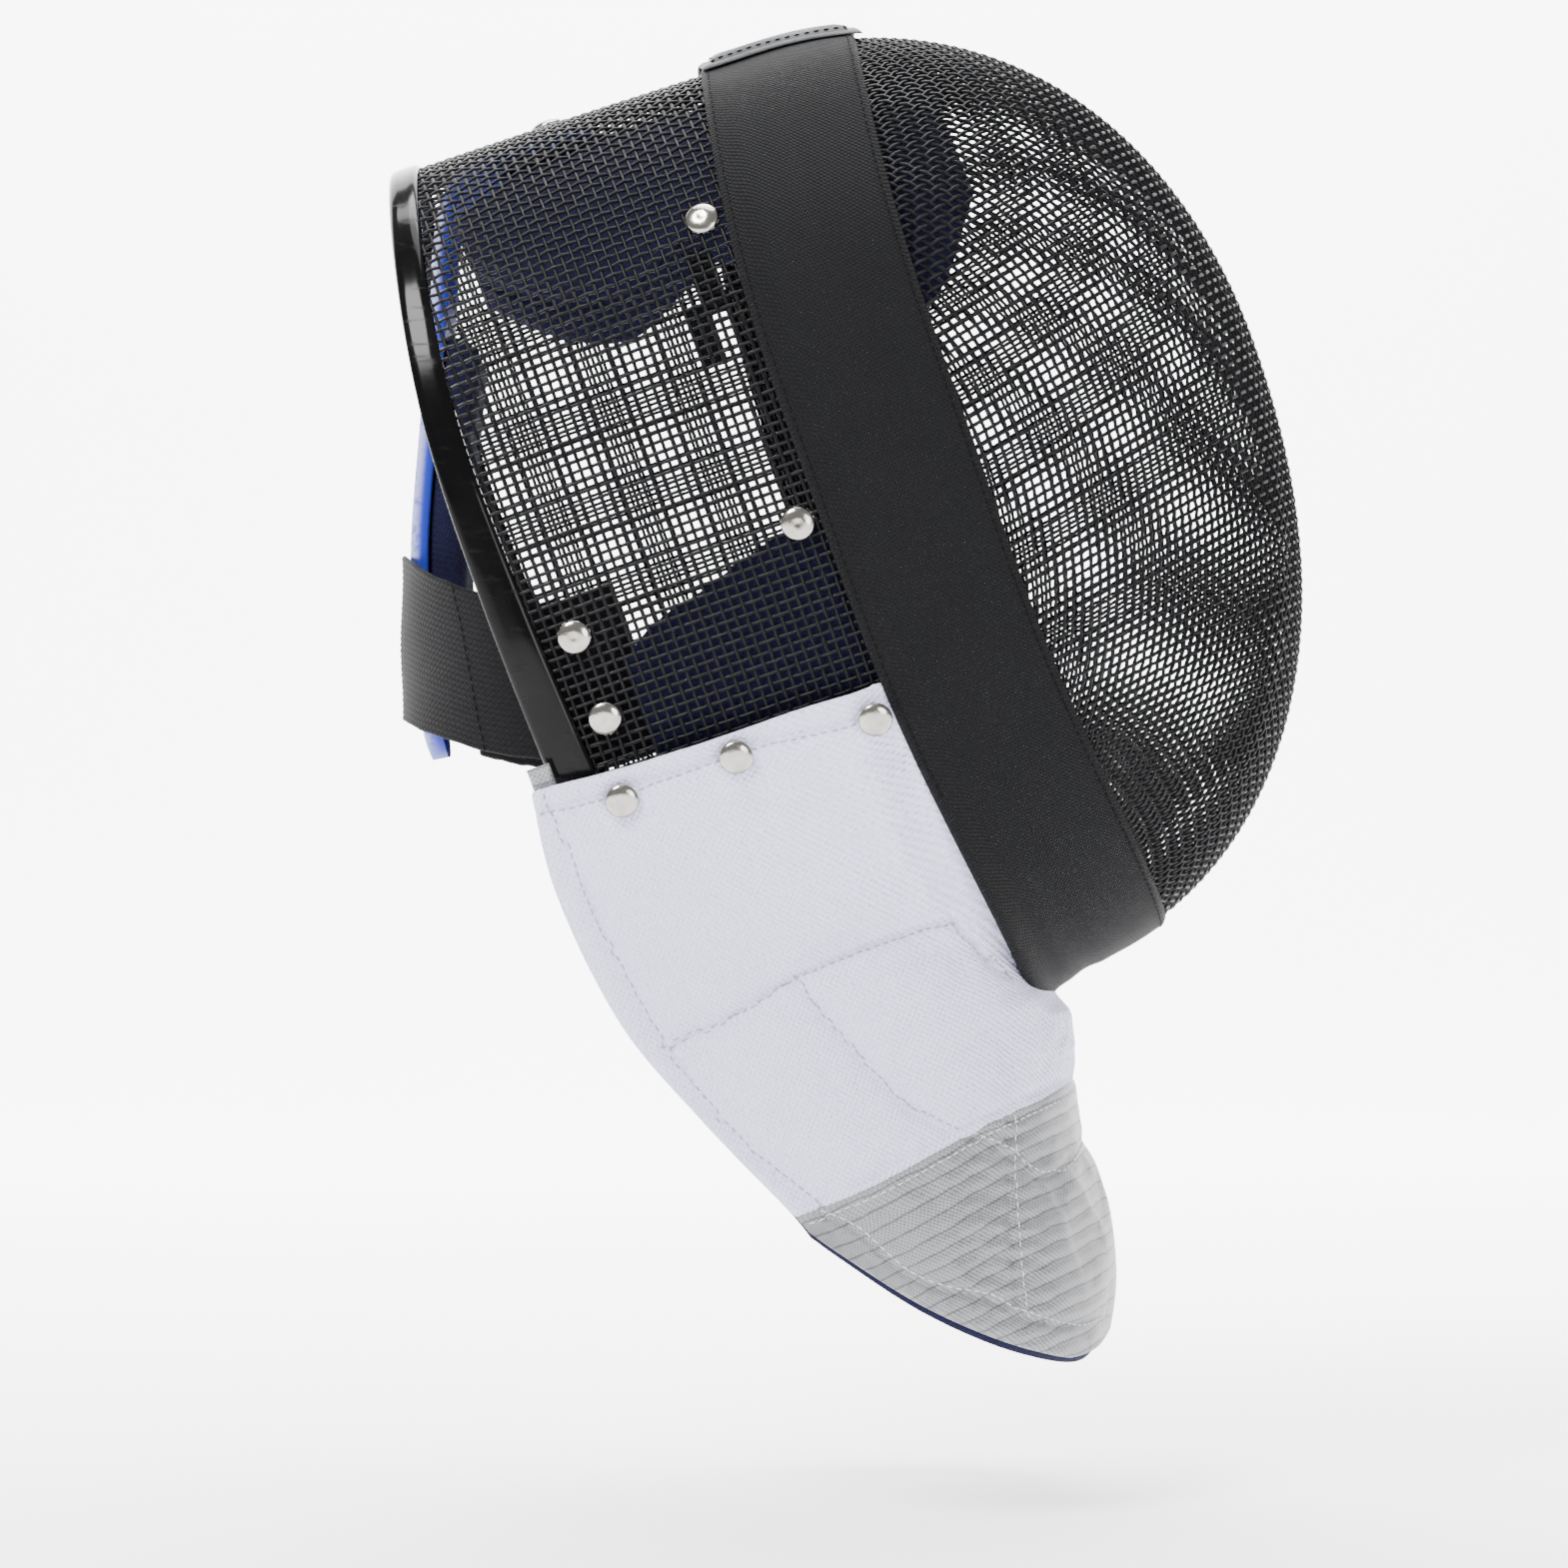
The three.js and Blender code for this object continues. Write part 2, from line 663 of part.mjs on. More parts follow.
// The top edge runs from the throat up beside the band and then back along the hem.
function topEdge(lowered) {
  const throat = sideCurve(bibThroat);
  const hem = sideCurve(bibHem);
  const throatShare = 0.42;
  return (share) => {
    const point = share < throatShare
      ? throat.getPointAt(share / throatShare)
      : hem.getPointAt((share - throatShare) / (1 - throatShare));
    const sinks = clamp01((share - throatShare * 0.7) / 0.2);
    return new THREE.Vector3(point.x, point.y - lowered * sinks, 0);
  };
}

// The front edge between two heights, on the middle of the mask.
function frontEdge(topUp, bottomUp) {
  return (share) => {
    const up = topUp + (bottomUp - topUp) * share;
    return new THREE.Vector3(lookUp(bibFrontEdge, 'up', 'fwd', up), up, 0);
  };
}

// A level edge that starts on the front edge and then follows a table.
function edgeFromFront(table) {
  const [start, ...others] = table;
  return curveOf([{ fwd: lookUp(bibFrontEdge, 'up', 'fwd', start.up), up: start.up }, ...others]);
}

function addBib() {
  const lameTopUp = lameTopEdge[0].up - bib.seamGap;
  const lameBottomUp = lameBottomEdge[0].up;
  const cover = {
    top: topEdge(0),
    bottom: edgeFromFront(lameTopEdge),
    front: frontEdge(bibThroat[0].up, lameTopEdge[0].up),
    rear: curveOf(bibRearEdge),
  };
  addPiece('bib_cloth', bibLayer(cover, 9, bib.coverInner, bib.coverOuter), 'whiteCloth');
  const lowered = (table, drop) => table.map((row) => ({ fwd: row.fwd, up: row.up - drop }));
  const lame = {
    top: edgeFromFront(lowered(lameTopEdge, bib.seamGap)),
    bottom: edgeFromFront(lameBottomEdge),
    front: frontEdge(lameTopUp, lameBottomUp),
    rear: curveOf([lowered(lameTopEdge, bib.seamGap).at(-1), lameBottomEdge.at(-1)]),
  };
  addPiece('bib_lame', bibLayer(lame, 5, bib.coverInner, bib.coverOuter), 'lame');
  const topDrop = 8;
  const hemDrop = 1.5;
  const rearLowered = [{ fwd: bibRearEdge[0].fwd, up: bibRearEdge[0].up - topDrop }, ...bibRearEdge.slice(1)];
  const lining = {
    top: topEdge(topDrop),
    bottom: edgeFromFront(lowered(lameBottomEdge, hemDrop)),
    front: frontEdge(bibThroat[0].up, lameBottomUp - hemDrop),
    rear: curveOf([...rearLowered, lowered(lameBottomEdge, hemDrop).at(-1)]),
  };
  addPiece('bib_lining', bibLayer(lining, 12, 0, bib.liningThickness), 'navyCloth');
}

// A domed rivet head, pressed onto the surface it fastens.
function rivetGeometry() {
  const profile = [new THREE.Vector2(0, 0), new THREE.Vector2(rivet.radius, 0)];
  for (let step = 0; step <= 3; step += 1) {
    const angle = step / 3 * Math.PI / 2;
    const height = rivet.lip + (rivet.height - rivet.lip) * Math.sin(angle);
    profile.push(new THREE.Vector2(rivet.radius * Math.cos(angle), height));
  }
  profile[profile.length - 1].x = 0;
  const lathe = new THREE.LatheGeometry(profile, rivetSides);
  lathe.deleteAttribute('normal');
  lathe.deleteAttribute('uv');
  const merged = mergeVertices(lathe, 1e-4);
  const points = [];
  for (let i = 0; i < merged.attributes.position.count; i += 1) {
    points.push(new THREE.Vector3().fromBufferAttribute(merged.attributes.position, i));
  }
  const triangles = [];
  for (let i = 0; i < merged.index.count; i += 3) {
    triangles.push([merged.index.getX(i), merged.index.getX(i + 1), merged.index.getX(i + 2)]);
  }
  return finish(points, triangles);
}

function addRivet(name, point, normal) {
  const mesh = new THREE.Mesh(rivetGeometry(), new THREE.MeshStandardMaterial(finishes.nickel));
  mesh.name = name;
  mesh.position.copy(point).addScaledVector(normal, rivet.gap);
  mesh.quaternion.setFromUnitVectors(new THREE.Vector3(0, 1, 0), normal);
  mask.add(mesh);
}

function addRivets() {
  for (const [sideName, sign] of [['right', -1], ['left', 1]]) {
    for (const { name, fwd, up, seat } of sideRivets) {
      if (seat === 'mesh') {
        const turn = turnAt(fwd);
        const angle = sign * angleAtUp(turn, up);
        addRivet(`rivet_${name}_${sideName}`, onShell(turn, angle, 0), shellNormal(turn, angle));
      } else {
        const face = (f, u) => place(sign * bibHalfWidth(f, u), f, u);
        const normal = surfaceNormal(face, fwd, up, 0.5);
        if (normal.x * sign < 0) normal.negate();
        const point = face(fwd, up).addScaledVector(normal, bib.coverOuter);
        addRivet(`rivet_${name}_${sideName}`, point, normal);
      }
    }
  }
  const turn = turnAt(crownRivetFwd);
  addRivet('rivet_crown', onShell(turn, 0, 0), shellNormal(turn, 0));
}

addMeshes();
addRim();
addBand();
addTongue();
addStrap();
addLinings();
addBib();
addRivets();

const part = new THREE.Group();
part.add(mask);

export default part;
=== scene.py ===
"""Fencing mask: woven wire shell, webbing band, spring tongue, strap and padded bib.

Run as a script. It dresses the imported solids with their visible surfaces, in metres.
Shapes are worked out in the mask's own upright frame in millimetres: "side" is across,
"fwd" is the distance in front of the head seat and "up" the height above it. At the end
each point is pitched back as the mask sits on a head.
"""

import math

import bmesh
import bpy
import numpy as np
from bpy.props import FloatProperty, FloatVectorProperty, IntProperty, PointerProperty
from bpy.types import Operator, Panel, PropertyGroup
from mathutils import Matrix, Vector


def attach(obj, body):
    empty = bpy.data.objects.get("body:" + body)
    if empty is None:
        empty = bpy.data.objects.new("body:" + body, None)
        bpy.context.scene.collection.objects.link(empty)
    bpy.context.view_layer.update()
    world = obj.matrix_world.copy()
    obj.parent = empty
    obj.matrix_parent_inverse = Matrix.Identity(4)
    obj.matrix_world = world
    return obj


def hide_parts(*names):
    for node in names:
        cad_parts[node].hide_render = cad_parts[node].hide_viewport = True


bl_info = {
    "name": "Fencing mask",
    "version": (1, 0, 0),
    "blender": (4, 5, 0),
    "location": "3D View > Sidebar > Mask",
    "description": "Builds the visible surfaces of a fencing mask round its packed solids",
    "category": "Object",
}

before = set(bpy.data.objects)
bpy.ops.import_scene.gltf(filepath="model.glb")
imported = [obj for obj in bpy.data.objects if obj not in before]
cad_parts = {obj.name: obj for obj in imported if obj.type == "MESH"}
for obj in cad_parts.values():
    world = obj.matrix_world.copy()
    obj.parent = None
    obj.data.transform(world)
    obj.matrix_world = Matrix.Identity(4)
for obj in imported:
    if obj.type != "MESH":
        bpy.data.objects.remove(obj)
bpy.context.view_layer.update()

# Pitch of the mask on the head, and the shell's driving sizes in millimetres.
PITCH = math.radians(19.6)
JOIN_FWD, REAR_FWD = 43, -83.5
CROWN_UP, CROWN_REAR_UP, WIDEST_UP, CHIN_UP = 11, 13.6, -110, -283.4
HALF_WIDTH, HALF_WIDTH_REAR = 98.5, 89.5
UPPER_FULLNESS, LOWER_FULLNESS = 2.2, 1.9
DOME_DEPTH, NOSE_UP, DOME_FULLNESS = 120.3, -125, 2.17
MESH_THICKNESS = 2

# Points closer than this, in metres, are one point of a finished mesh.
MERGE_DISTANCE = 2e-6

# The opening's edge and the strip that covers it.
CROWN_FORWARD, NECK_FORWARD = 16, 6
JAW_START, JAW_FORWARD = math.radians(138), 95
RIM_CROWN_WIDTH, RIM_JAW_WIDTH = 9, 13.5
RIM_INSIDE, RIM_OUTSIDE = -3.5, 1.2

# Webbing band over the joint between the meshes, and the patch over its ends.
BAND_REAR, BAND_REAR_CROWN = 16.5, 15
BAND_FRONT, BAND_FRONT_CROWN = 65.5, 13
BAND_GAP, BAND_THICKNESS = 0.6, 1.3
PATCH_REAR, PATCH_FRONT, PATCH_HALF_ANGLE = 31, 79.5, math.radians(15)

# Side view outline of the bib, as (fwd, up).
HEM = [(16.8, -182), (-8, -181), (-50, -180), (-88.5, -177)]
THROAT = [(39, -287), (34, -281), (28.6, -271), (21.5, -246), (18, -216), (16.8, -182)]
BIB_REAR = [(-88.5, -177), (-91.5, -203), (-87, -250), (-74, -285), (-57.7, -321)]
BIB_FRONT = [(39, -287), (36.5, -300), (31.5, -314), (28, -330), (28.5, -349), (22.5, -376), (17, -389)]
LAME_TOP = [(31.5, -314), (4, -315), (-34, -320), (-57.7, -321)]
LAME_BOTTOM = [(17, -389), (8, -391), (-8, -381), (-31, -359), (-50, -334), (-55.5, -326)]
BIB_SPREAD = [(-400, 80), (-330, 76), (-290, 73), (-240, 72), (-170, 70)]
BIB_ARM_FWD, BIB_FULLNESS = -65, 2.1
BIB_CLEARANCE, COVER_INNER, COVER_OUTER = 0.6, 2.7, 5.1
THROAT_SHARE = 0.42


def ease(value):
    """0 below 0, 1 above 1 and smooth between."""
    t = np.clip(value, 0, 1)
    return t * t * (3 - 2 * t)


def to_row(points):
    """Points of the mask's own frame in millimetres, pitched into the row's frame in metres."""
    side, fwd, up = np.moveaxis(np.asarray(points, float), -1, 0)
    turned = [side, up * math.sin(PITCH) - fwd * math.cos(PITCH), fwd * math.sin(PITCH) + up * math.cos(PITCH)]
    return np.stack(turned, -1) / 1000


def unit(vectors):
    return vectors / np.maximum(np.linalg.norm(vectors, axis=-1, keepdims=True), 1e-9)


def lengths_along(points):
    """Distance along a line of points, 0 at its first."""
    return np.concatenate([[0], np.cumsum(np.linalg.norm(np.diff(points, axis=0), axis=-1))])


def between(points, keys, places):
    """Rows of a line of points at places among the keys of its rows."""
    return np.stack([np.interp(places, keys, points[:, k]) for k in range(points.shape[1])], -1)


def grid_shares(rows, columns, first=0):
    """Two arrays for a grid: 0 to 1 down its rows, and first to 1 across its columns."""
    return np.meshgrid(np.linspace(0, 1, rows), np.linspace(first, 1, columns), indexing="ij")


def rounded_square(around, power):
    """How far a squarish section lies beyond a circle in each direction."""
    return (np.abs(np.cos(around)) ** power + np.abs(np.sin(around)) ** power) ** (-1 / power)


# The mesh shell. "turn" below 0 lies behind the join and runs from 0 to 1 over the dome.

def section_size(fwd):
    share = np.clip((JOIN_FWD - fwd) / (JOIN_FWD - REAR_FWD), 0, 1)
    crown = CROWN_UP + (CROWN_REAR_UP - CROWN_UP) * np.sin(share * np.pi / 2)
    half = HALF_WIDTH - (HALF_WIDTH - HALF_WIDTH_REAR) * share ** 1.6
    return half, crown - WIDEST_UP, WIDEST_UP - CHIN_UP


def section_radius(fwd, angle):
    half, upper, lower = section_size(fwd)
    above = np.cos(angle) > 0
    height = np.where(above, upper, lower)
    fullness = np.where(above, UPPER_FULLNESS, LOWER_FULLNESS)
    across = (np.abs(np.sin(angle)) / half) ** fullness
    upright = (np.abs(np.cos(angle)) / height) ** fullness
    return (across + upright) ** (-1 / fullness)


def shell_point(turn, angle):
    turn, angle = np.broadcast_arrays(np.asarray(turn, float), np.asarray(angle, float))
    quarter = np.clip(turn, 0, 1) * np.pi / 2
    behind = JOIN_FWD + turn * (JOIN_FWD - REAR_FWD)
    ahead = JOIN_FWD + DOME_DEPTH * np.sin(quarter) ** (2 / DOME_FULLNESS)
    fwd = np.where(turn < 0, behind, ahead)
    radius = section_radius(fwd, angle)
    shrink = np.where(turn < 0, 1, np.maximum(0, np.cos(quarter)) ** (2 / DOME_FULLNESS))
    up = WIDEST_UP + radius * np.cos(angle)
    return np.stack([shrink * radius * np.sin(angle), fwd, NOSE_UP + shrink * (up - NOSE_UP)], -1)


def turn_at(fwd):
    ahead = np.asarray(fwd, float) - JOIN_FWD
    sine = np.clip(ahead / DOME_DEPTH, 0, 1) ** (DOME_FULLNESS / 2)
    return np.where(ahead <= 0, ahead / (JOIN_FWD - REAR_FWD), np.arcsin(sine) / (np.pi / 2))


def shell_normal(turn, angle, step=1e-3):
    along = shell_point(turn + step, angle) - shell_point(turn - step, angle)
    around = shell_point(turn, angle + step) - shell_point(turn, angle - step)
    normal = unit(np.cross(along, around))
    outward = shell_point(turn, angle) - np.array([0, 20, -120])
    return normal * np.sign((normal * outward).sum(-1, keepdims=True))


def on_shell(turn, angle, offset):
    """Point at a distance outside the shell's outer face."""
    return shell_point(turn, angle) + shell_normal(turn, angle) * np.asarray(offset)[..., None]


def angle_at_up(turn, up):
    """Direction from straight up in which the shell has a given height."""
    turn, up = np.broadcast_arrays(np.asarray(turn, float), np.asarray(up, float))
    low, high = np.zeros(turn.shape), np.full(turn.shape, np.pi)
    for _ in range(30):
        middle = (low + high) / 2
        higher = shell_point(turn, middle)[..., 2] > up
        low, high = np.where(higher, middle, low), np.where(higher, high, middle)
    return (low + high) / 2


def opening_edge(angle):
    from_top = np.pi - np.abs(np.pi - np.mod(angle, 2 * np.pi))
    jaw = np.clip((from_top - JAW_START) / (np.pi - JAW_START), 0, 1)
    lean = np.where(np.cos(angle) > 0, CROWN_FORWARD, NECK_FORWARD)
    return REAR_FWD + lean * np.abs(np.cos(angle)) ** 3 + JAW_FORWARD * np.sin(np.pi / 2 * jaw ** 1.15)


def rim_width(angle):
    return RIM_JAW_WIDTH + (RIM_CROWN_WIDTH - RIM_JAW_WIDTH) * np.clip(0.5 + 0.7 * np.cos(angle), 0, 1)


def band_edge(edge, crown_shift, angle):
    power = np.where(np.cos(angle) > 0, 3, 6)
    return edge + crown_shift * np.abs(np.cos(angle)) ** power


# Smooth curves through the rows of a table.

def side_curve(table, count=200):
    """Points of a centripetal curve through a table, evenly spaced along it."""
    rows = np.asarray(table, float)
    rows = np.vstack([2 * rows[0] - rows[1], rows, 2 * rows[-1] - rows[-2]])
    pieces = []
    for a, b, c, d in zip(rows, rows[1:], rows[2:], rows[3:]):
        ab, bc, cd = [math.sqrt(np.linalg.norm(q - p)) for p, q in ((a, b), (b, c), (c, d))]
        leave = ((b - a) / ab - (c - a) / (ab + bc) + (c - b) / bc) * bc
        arrive = ((c - b) / bc - (d - b) / (bc + cd) + (d - c) / cd) * bc
        t = np.linspace(0, 1, 40, endpoint=False)[:, None]
        pieces.append((2 * t ** 3 - 3 * t ** 2 + 1) * b + (t ** 3 - 2 * t ** 2 + t) * leave
                      + (3 * t ** 2 - 2 * t ** 3) * c + (t ** 3 - t ** 2) * arrive)
    points = np.vstack(pieces + [rows[-2][None]])
    return resample(points, count)


def resample(points, count):
    lengths = lengths_along(points)
    return between(points, lengths, np.linspace(0, lengths[-1], count))


def along(curve, share):
    """Points of an evenly spaced curve at shares of its length."""
    return between(curve, np.arange(len(curve)), np.clip(share, 0, 1) * (len(curve) - 1))


def look_up(table, key):
    """Second column of a table at a value of its first, on a smooth curve."""
    rows = np.array(sorted(table), float)
    x, y = rows[:, 0], rows[:, 1]
    slopes = np.gradient(y, x) if len(x) > 2 else np.full(len(x), (y[1] - y[0]) / (x[1] - x[0]))
    key = np.clip(key, x[0], x[-1])
    row = np.clip(np.searchsorted(x, key) - 1, 0, len(x) - 2)
    span = x[row + 1] - x[row]
    t = (key - x[row]) / span
    return ((2 * t ** 3 - 3 * t ** 2 + 1) * y[row] + (t ** 3 - 2 * t ** 2 + t) * span * slopes[row]
            + (3 * t ** 2 - 2 * t ** 3) * y[row + 1] + (t ** 3 - t ** 2) * span * slopes[row + 1])


# The bib: a sheet over an outline in the side view.

def superellipse(share, fullness):
    return np.maximum(0, 1 - np.clip(share, 0, 1) ** fullness) ** (1 / fullness)


def bib_front(up):
    return look_up([(row_up, fwd) for fwd, row_up in BIB_FRONT], up)


def bib_half_width(fwd, up):
    half, upper, lower = section_size(np.maximum(fwd, REAR_FWD))
    above = up > WIDEST_UP
    height = np.where(above, upper, lower) + BIB_CLEARANCE
    fullness = np.where(above, UPPER_FULLNESS, LOWER_FULLNESS)
    on_mesh = (half + BIB_CLEARANCE) * superellipse(np.abs(up - WIDEST_UP) / height, fullness)
    reach = (fwd - BIB_ARM_FWD) / (bib_front(up) - BIB_ARM_FWD)
    hanging = look_up(BIB_SPREAD, up) * superellipse(np.maximum(0, reach), BIB_FULLNESS)
    return (on_mesh ** 8 + hanging ** 8) ** (1 / 8)


def bib_edges(top, bottom, top_up, bottom_up, rear):
    """The four edges of a bib layer: evenly spaced curves, and the front by its heights."""
    ups = np.linspace(top_up, bottom_up, 100)
    front = np.stack([bib_front(ups), ups], 1)
    return {"top": top, "bottom": bottom, "front": front, "rear": side_curve(rear)}


def bib_place(edges, down, back):
    """(fwd, up) of places in the outline, blended between its edges."""
    down, back = down[..., None], back[..., None]
    top, bottom = along(edges["top"], back[..., 0]), along(edges["bottom"], back[..., 0])
    front, rear = along(edges["front"], down[..., 0]), along(edges["rear"], down[..., 0])
    a, b = edges["top"][0], edges["top"][-1]
    c, d = edges["bottom"][0], edges["bottom"][-1]
    return ((1 - down) * top + down * bottom + (1 - back) * front + back * rear
            - (1 - down) * ((1 - back) * a + back * b) - down * ((1 - back) * c + back * d))


def bib_point(fwd, up, sign):
    return np.stack([sign * bib_half_width(fwd, up), fwd, up], -1)


def bib_normal(fwd, up, sign, step=0.4):
    ahead = bib_point(fwd + step, up, sign) - bib_point(fwd - step, up, sign)
    over = bib_point(fwd, up + step, sign) - bib_point(fwd, up - step, sign)
    normal = unit(np.cross(ahead, over))
    return normal * np.sign(normal[..., :1] * np.asarray(sign)[..., None] + 1e-12)


def top_edge(forward=0, lowered=0):
    """The bib's top edge from the throat up beside the band and back along the hem."""
    throat, hem = side_curve(THROAT), side_curve(HEM)
    share = np.linspace(0, 1, 400)
    before = along(throat, share / THROAT_SHARE)
    after = along(hem, (share - THROAT_SHARE) / (1 - THROAT_SHARE))
    edge = np.where((share < THROAT_SHARE)[:, None], before, after)
    edge[:, 0] += forward * ease(share / 0.06) * ease((THROAT_SHARE + 0.06 - share) / 0.06)
    edge[:, 1] -= lowered * np.clip((share - THROAT_SHARE * 0.7) / 0.2, 0, 1)
    return edge


def from_front(table, drop=0):
    """A level edge that starts on the front edge and then follows a table."""
    rows = [(fwd, up - drop) for fwd, up in table]
    return side_curve([(float(bib_front(rows[0][1])), rows[0][1])] + rows[1:])


# Meshes from grids of points.

def place_object(name, data):
    """A new object of the scene that shows the given data."""
    obj = bpy.data.objects.new(name, data)
    bpy.context.scene.collection.objects.link(obj)
    return obj


def values_of(elements, attribute):
    """A vector attribute of a mesh's points or faces, one row for each."""
    flat = np.zeros(len(elements) * 3)
    elements.foreach_get(attribute, flat)
    return flat.reshape(-1, 3)


def grid_quads(rows, columns, start=0, wrap=False, wrap_rows=False):
    """Quads of a grid. A wrapped grid's last column meets its first, and so for rows."""
    quads = []
    for row in range(rows if wrap_rows else rows - 1):
        for column in range(columns if wrap else columns - 1):
            a = start + row * columns + column
            b = start + row * columns + (column + 1) % columns
            below = ((row + 1) % rows - row) * columns
            quads.append((a, b, b + below, a + below))
    return quads


def grid_uv(points):
    """Distance along and across a grid, in metres, as each point's place on the cloth."""
    metres = to_row(points)
    across = np.linalg.norm(np.diff(metres, axis=1), axis=-1)
    down = np.linalg.norm(np.diff(metres, axis=0), axis=-1)
    u = np.concatenate([np.zeros((len(points), 1)), np.cumsum(across, axis=1)], 1)
    v = np.concatenate([np.zeros((1, points.shape[1])), np.cumsum(down, axis=0)], 0)
    middle = u[:, u.shape[1] // 2][:, None]
    return np.stack([u - middle, v], -1)


def make_piece(name, points, faces, uv, material):
    """A mesh object from points of the mask's frame, with its faces turned outwards."""
    mesh = bpy.data.meshes.new(name)
    points = np.asarray(points).reshape(-1, 3)
    mesh.from_pydata(to_row(points).tolist(), [], faces)
    corners = np.zeros(len(mesh.loops), dtype=int)
    mesh.loops.foreach_get("vertex_index", corners)
    layer = mesh.uv_layers.new(name="cloth")
    layer.data.foreach_set("uv", np.asarray(uv).reshape(-1, 2)[corners].ravel())
    obj = place_object(name, mesh)
    shell = bmesh.new()
    shell.from_mesh(mesh)
    bmesh.ops.remove_doubles(shell, verts=shell.verts, dist=MERGE_DISTANCE)
    bmesh.ops.recalc_face_normals(shell, faces=shell.faces)
    shell.to_mesh(mesh)
    shell.free()
    mesh.polygons.foreach_set("use_smooth", [True] * len(mesh.polygons))
    mesh.materials.append(material)
    return obj


def slab(name, outer, inner, material, uv=None, wrap=False):
    """A closed wall between two grids of points."""
    rows, columns = outer.shape[:2]
    count = rows * columns
    faces = grid_quads(rows, columns, 0, wrap) + grid_quads(rows, columns, count, wrap)
    last = (rows - 1) * columns
    for column in range(columns if wrap else columns - 1):
        after = (column + 1) % columns
        faces.append((column, after, count + after, count + column))
        faces.append((last + column, last + after, count + last + after, count + last + column))
    if not wrap:
        for row in range(rows - 1):
            for edge in (0, columns - 1):
                a, b = row * columns + edge, (row + 1) * columns + edge
                faces.append((a, b, count + b, count + a))
    if uv is None:
        uv = grid_uv(outer)
    return make_piece(name, np.concatenate([outer.reshape(-1, 3), inner.reshape(-1, 3)]), faces,
                      np.concatenate([uv.reshape(-1, 2)] * 2), material)


def loft(name, sections, material, closed=False):
    """A closed bar through rings of points, with its ends filled unless it meets itself."""
    rings, sides = sections.shape[:2]
    faces = grid_quads(rings, sides, 0, wrap=True, wrap_rows=closed)
    if not closed:
        faces += [tuple(range(sides)), tuple(range((rings - 1) * sides, rings * sides))]
    steps = np.linalg.norm(np.diff(sections, axis=1), axis=-1)
    girth = np.concatenate([np.zeros((rings, 1)), np.cumsum(steps, 1)], 1)
    length = lengths_along(sections.mean(1))
    uv = np.stack([girth, np.repeat(length[:, None], sides, 1)], -1) / 1000
    return make_piece(name, sections, faces, uv, material)


def dress(obj, slot_name, *nodes):
    """Gives a finished piece its body and hides the solids that it stands for. Its slot name is not used."""
    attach(obj, "root")
    if nodes:
        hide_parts(*nodes)
    return obj


# Materials, built from nodes on the piece's own cloth map or on Object coordinates.

def linear(value):
    """An sRGB hex colour as linear red, green, blue and alpha."""
    channels = [int(value[i:i + 2], 16) / 255 for i in (1, 3, 5)]
    return tuple(c / 12.92 if c <= 0.04045 else ((c + 0.055) / 1.055) ** 2.4 for c in channels) + (1,)


def add(tree, kind, inputs=None, **settings):
    """Adds a node, sets its properties, and fills each input with a value or a link."""
    made = tree.nodes.new(kind)
    for key, value in settings.items():
        setattr(made, key, value)
    for key, value in (inputs or {}).items():
        socket = made.inputs[key]
        if isinstance(value, bpy.types.NodeSocket):
            tree.links.new(value, socket)
        else:
            socket.default_value = value
    return made


def maths(tree, operation, a, b=0.0):
    return add(tree, "ShaderNodeMath", {0: a, 1: b}, operation=operation).outputs[0]


def shaded(colour, share):
    """A colour made darker or lighter by a share."""
    return [c * share for c in colour[:3]] + [1]


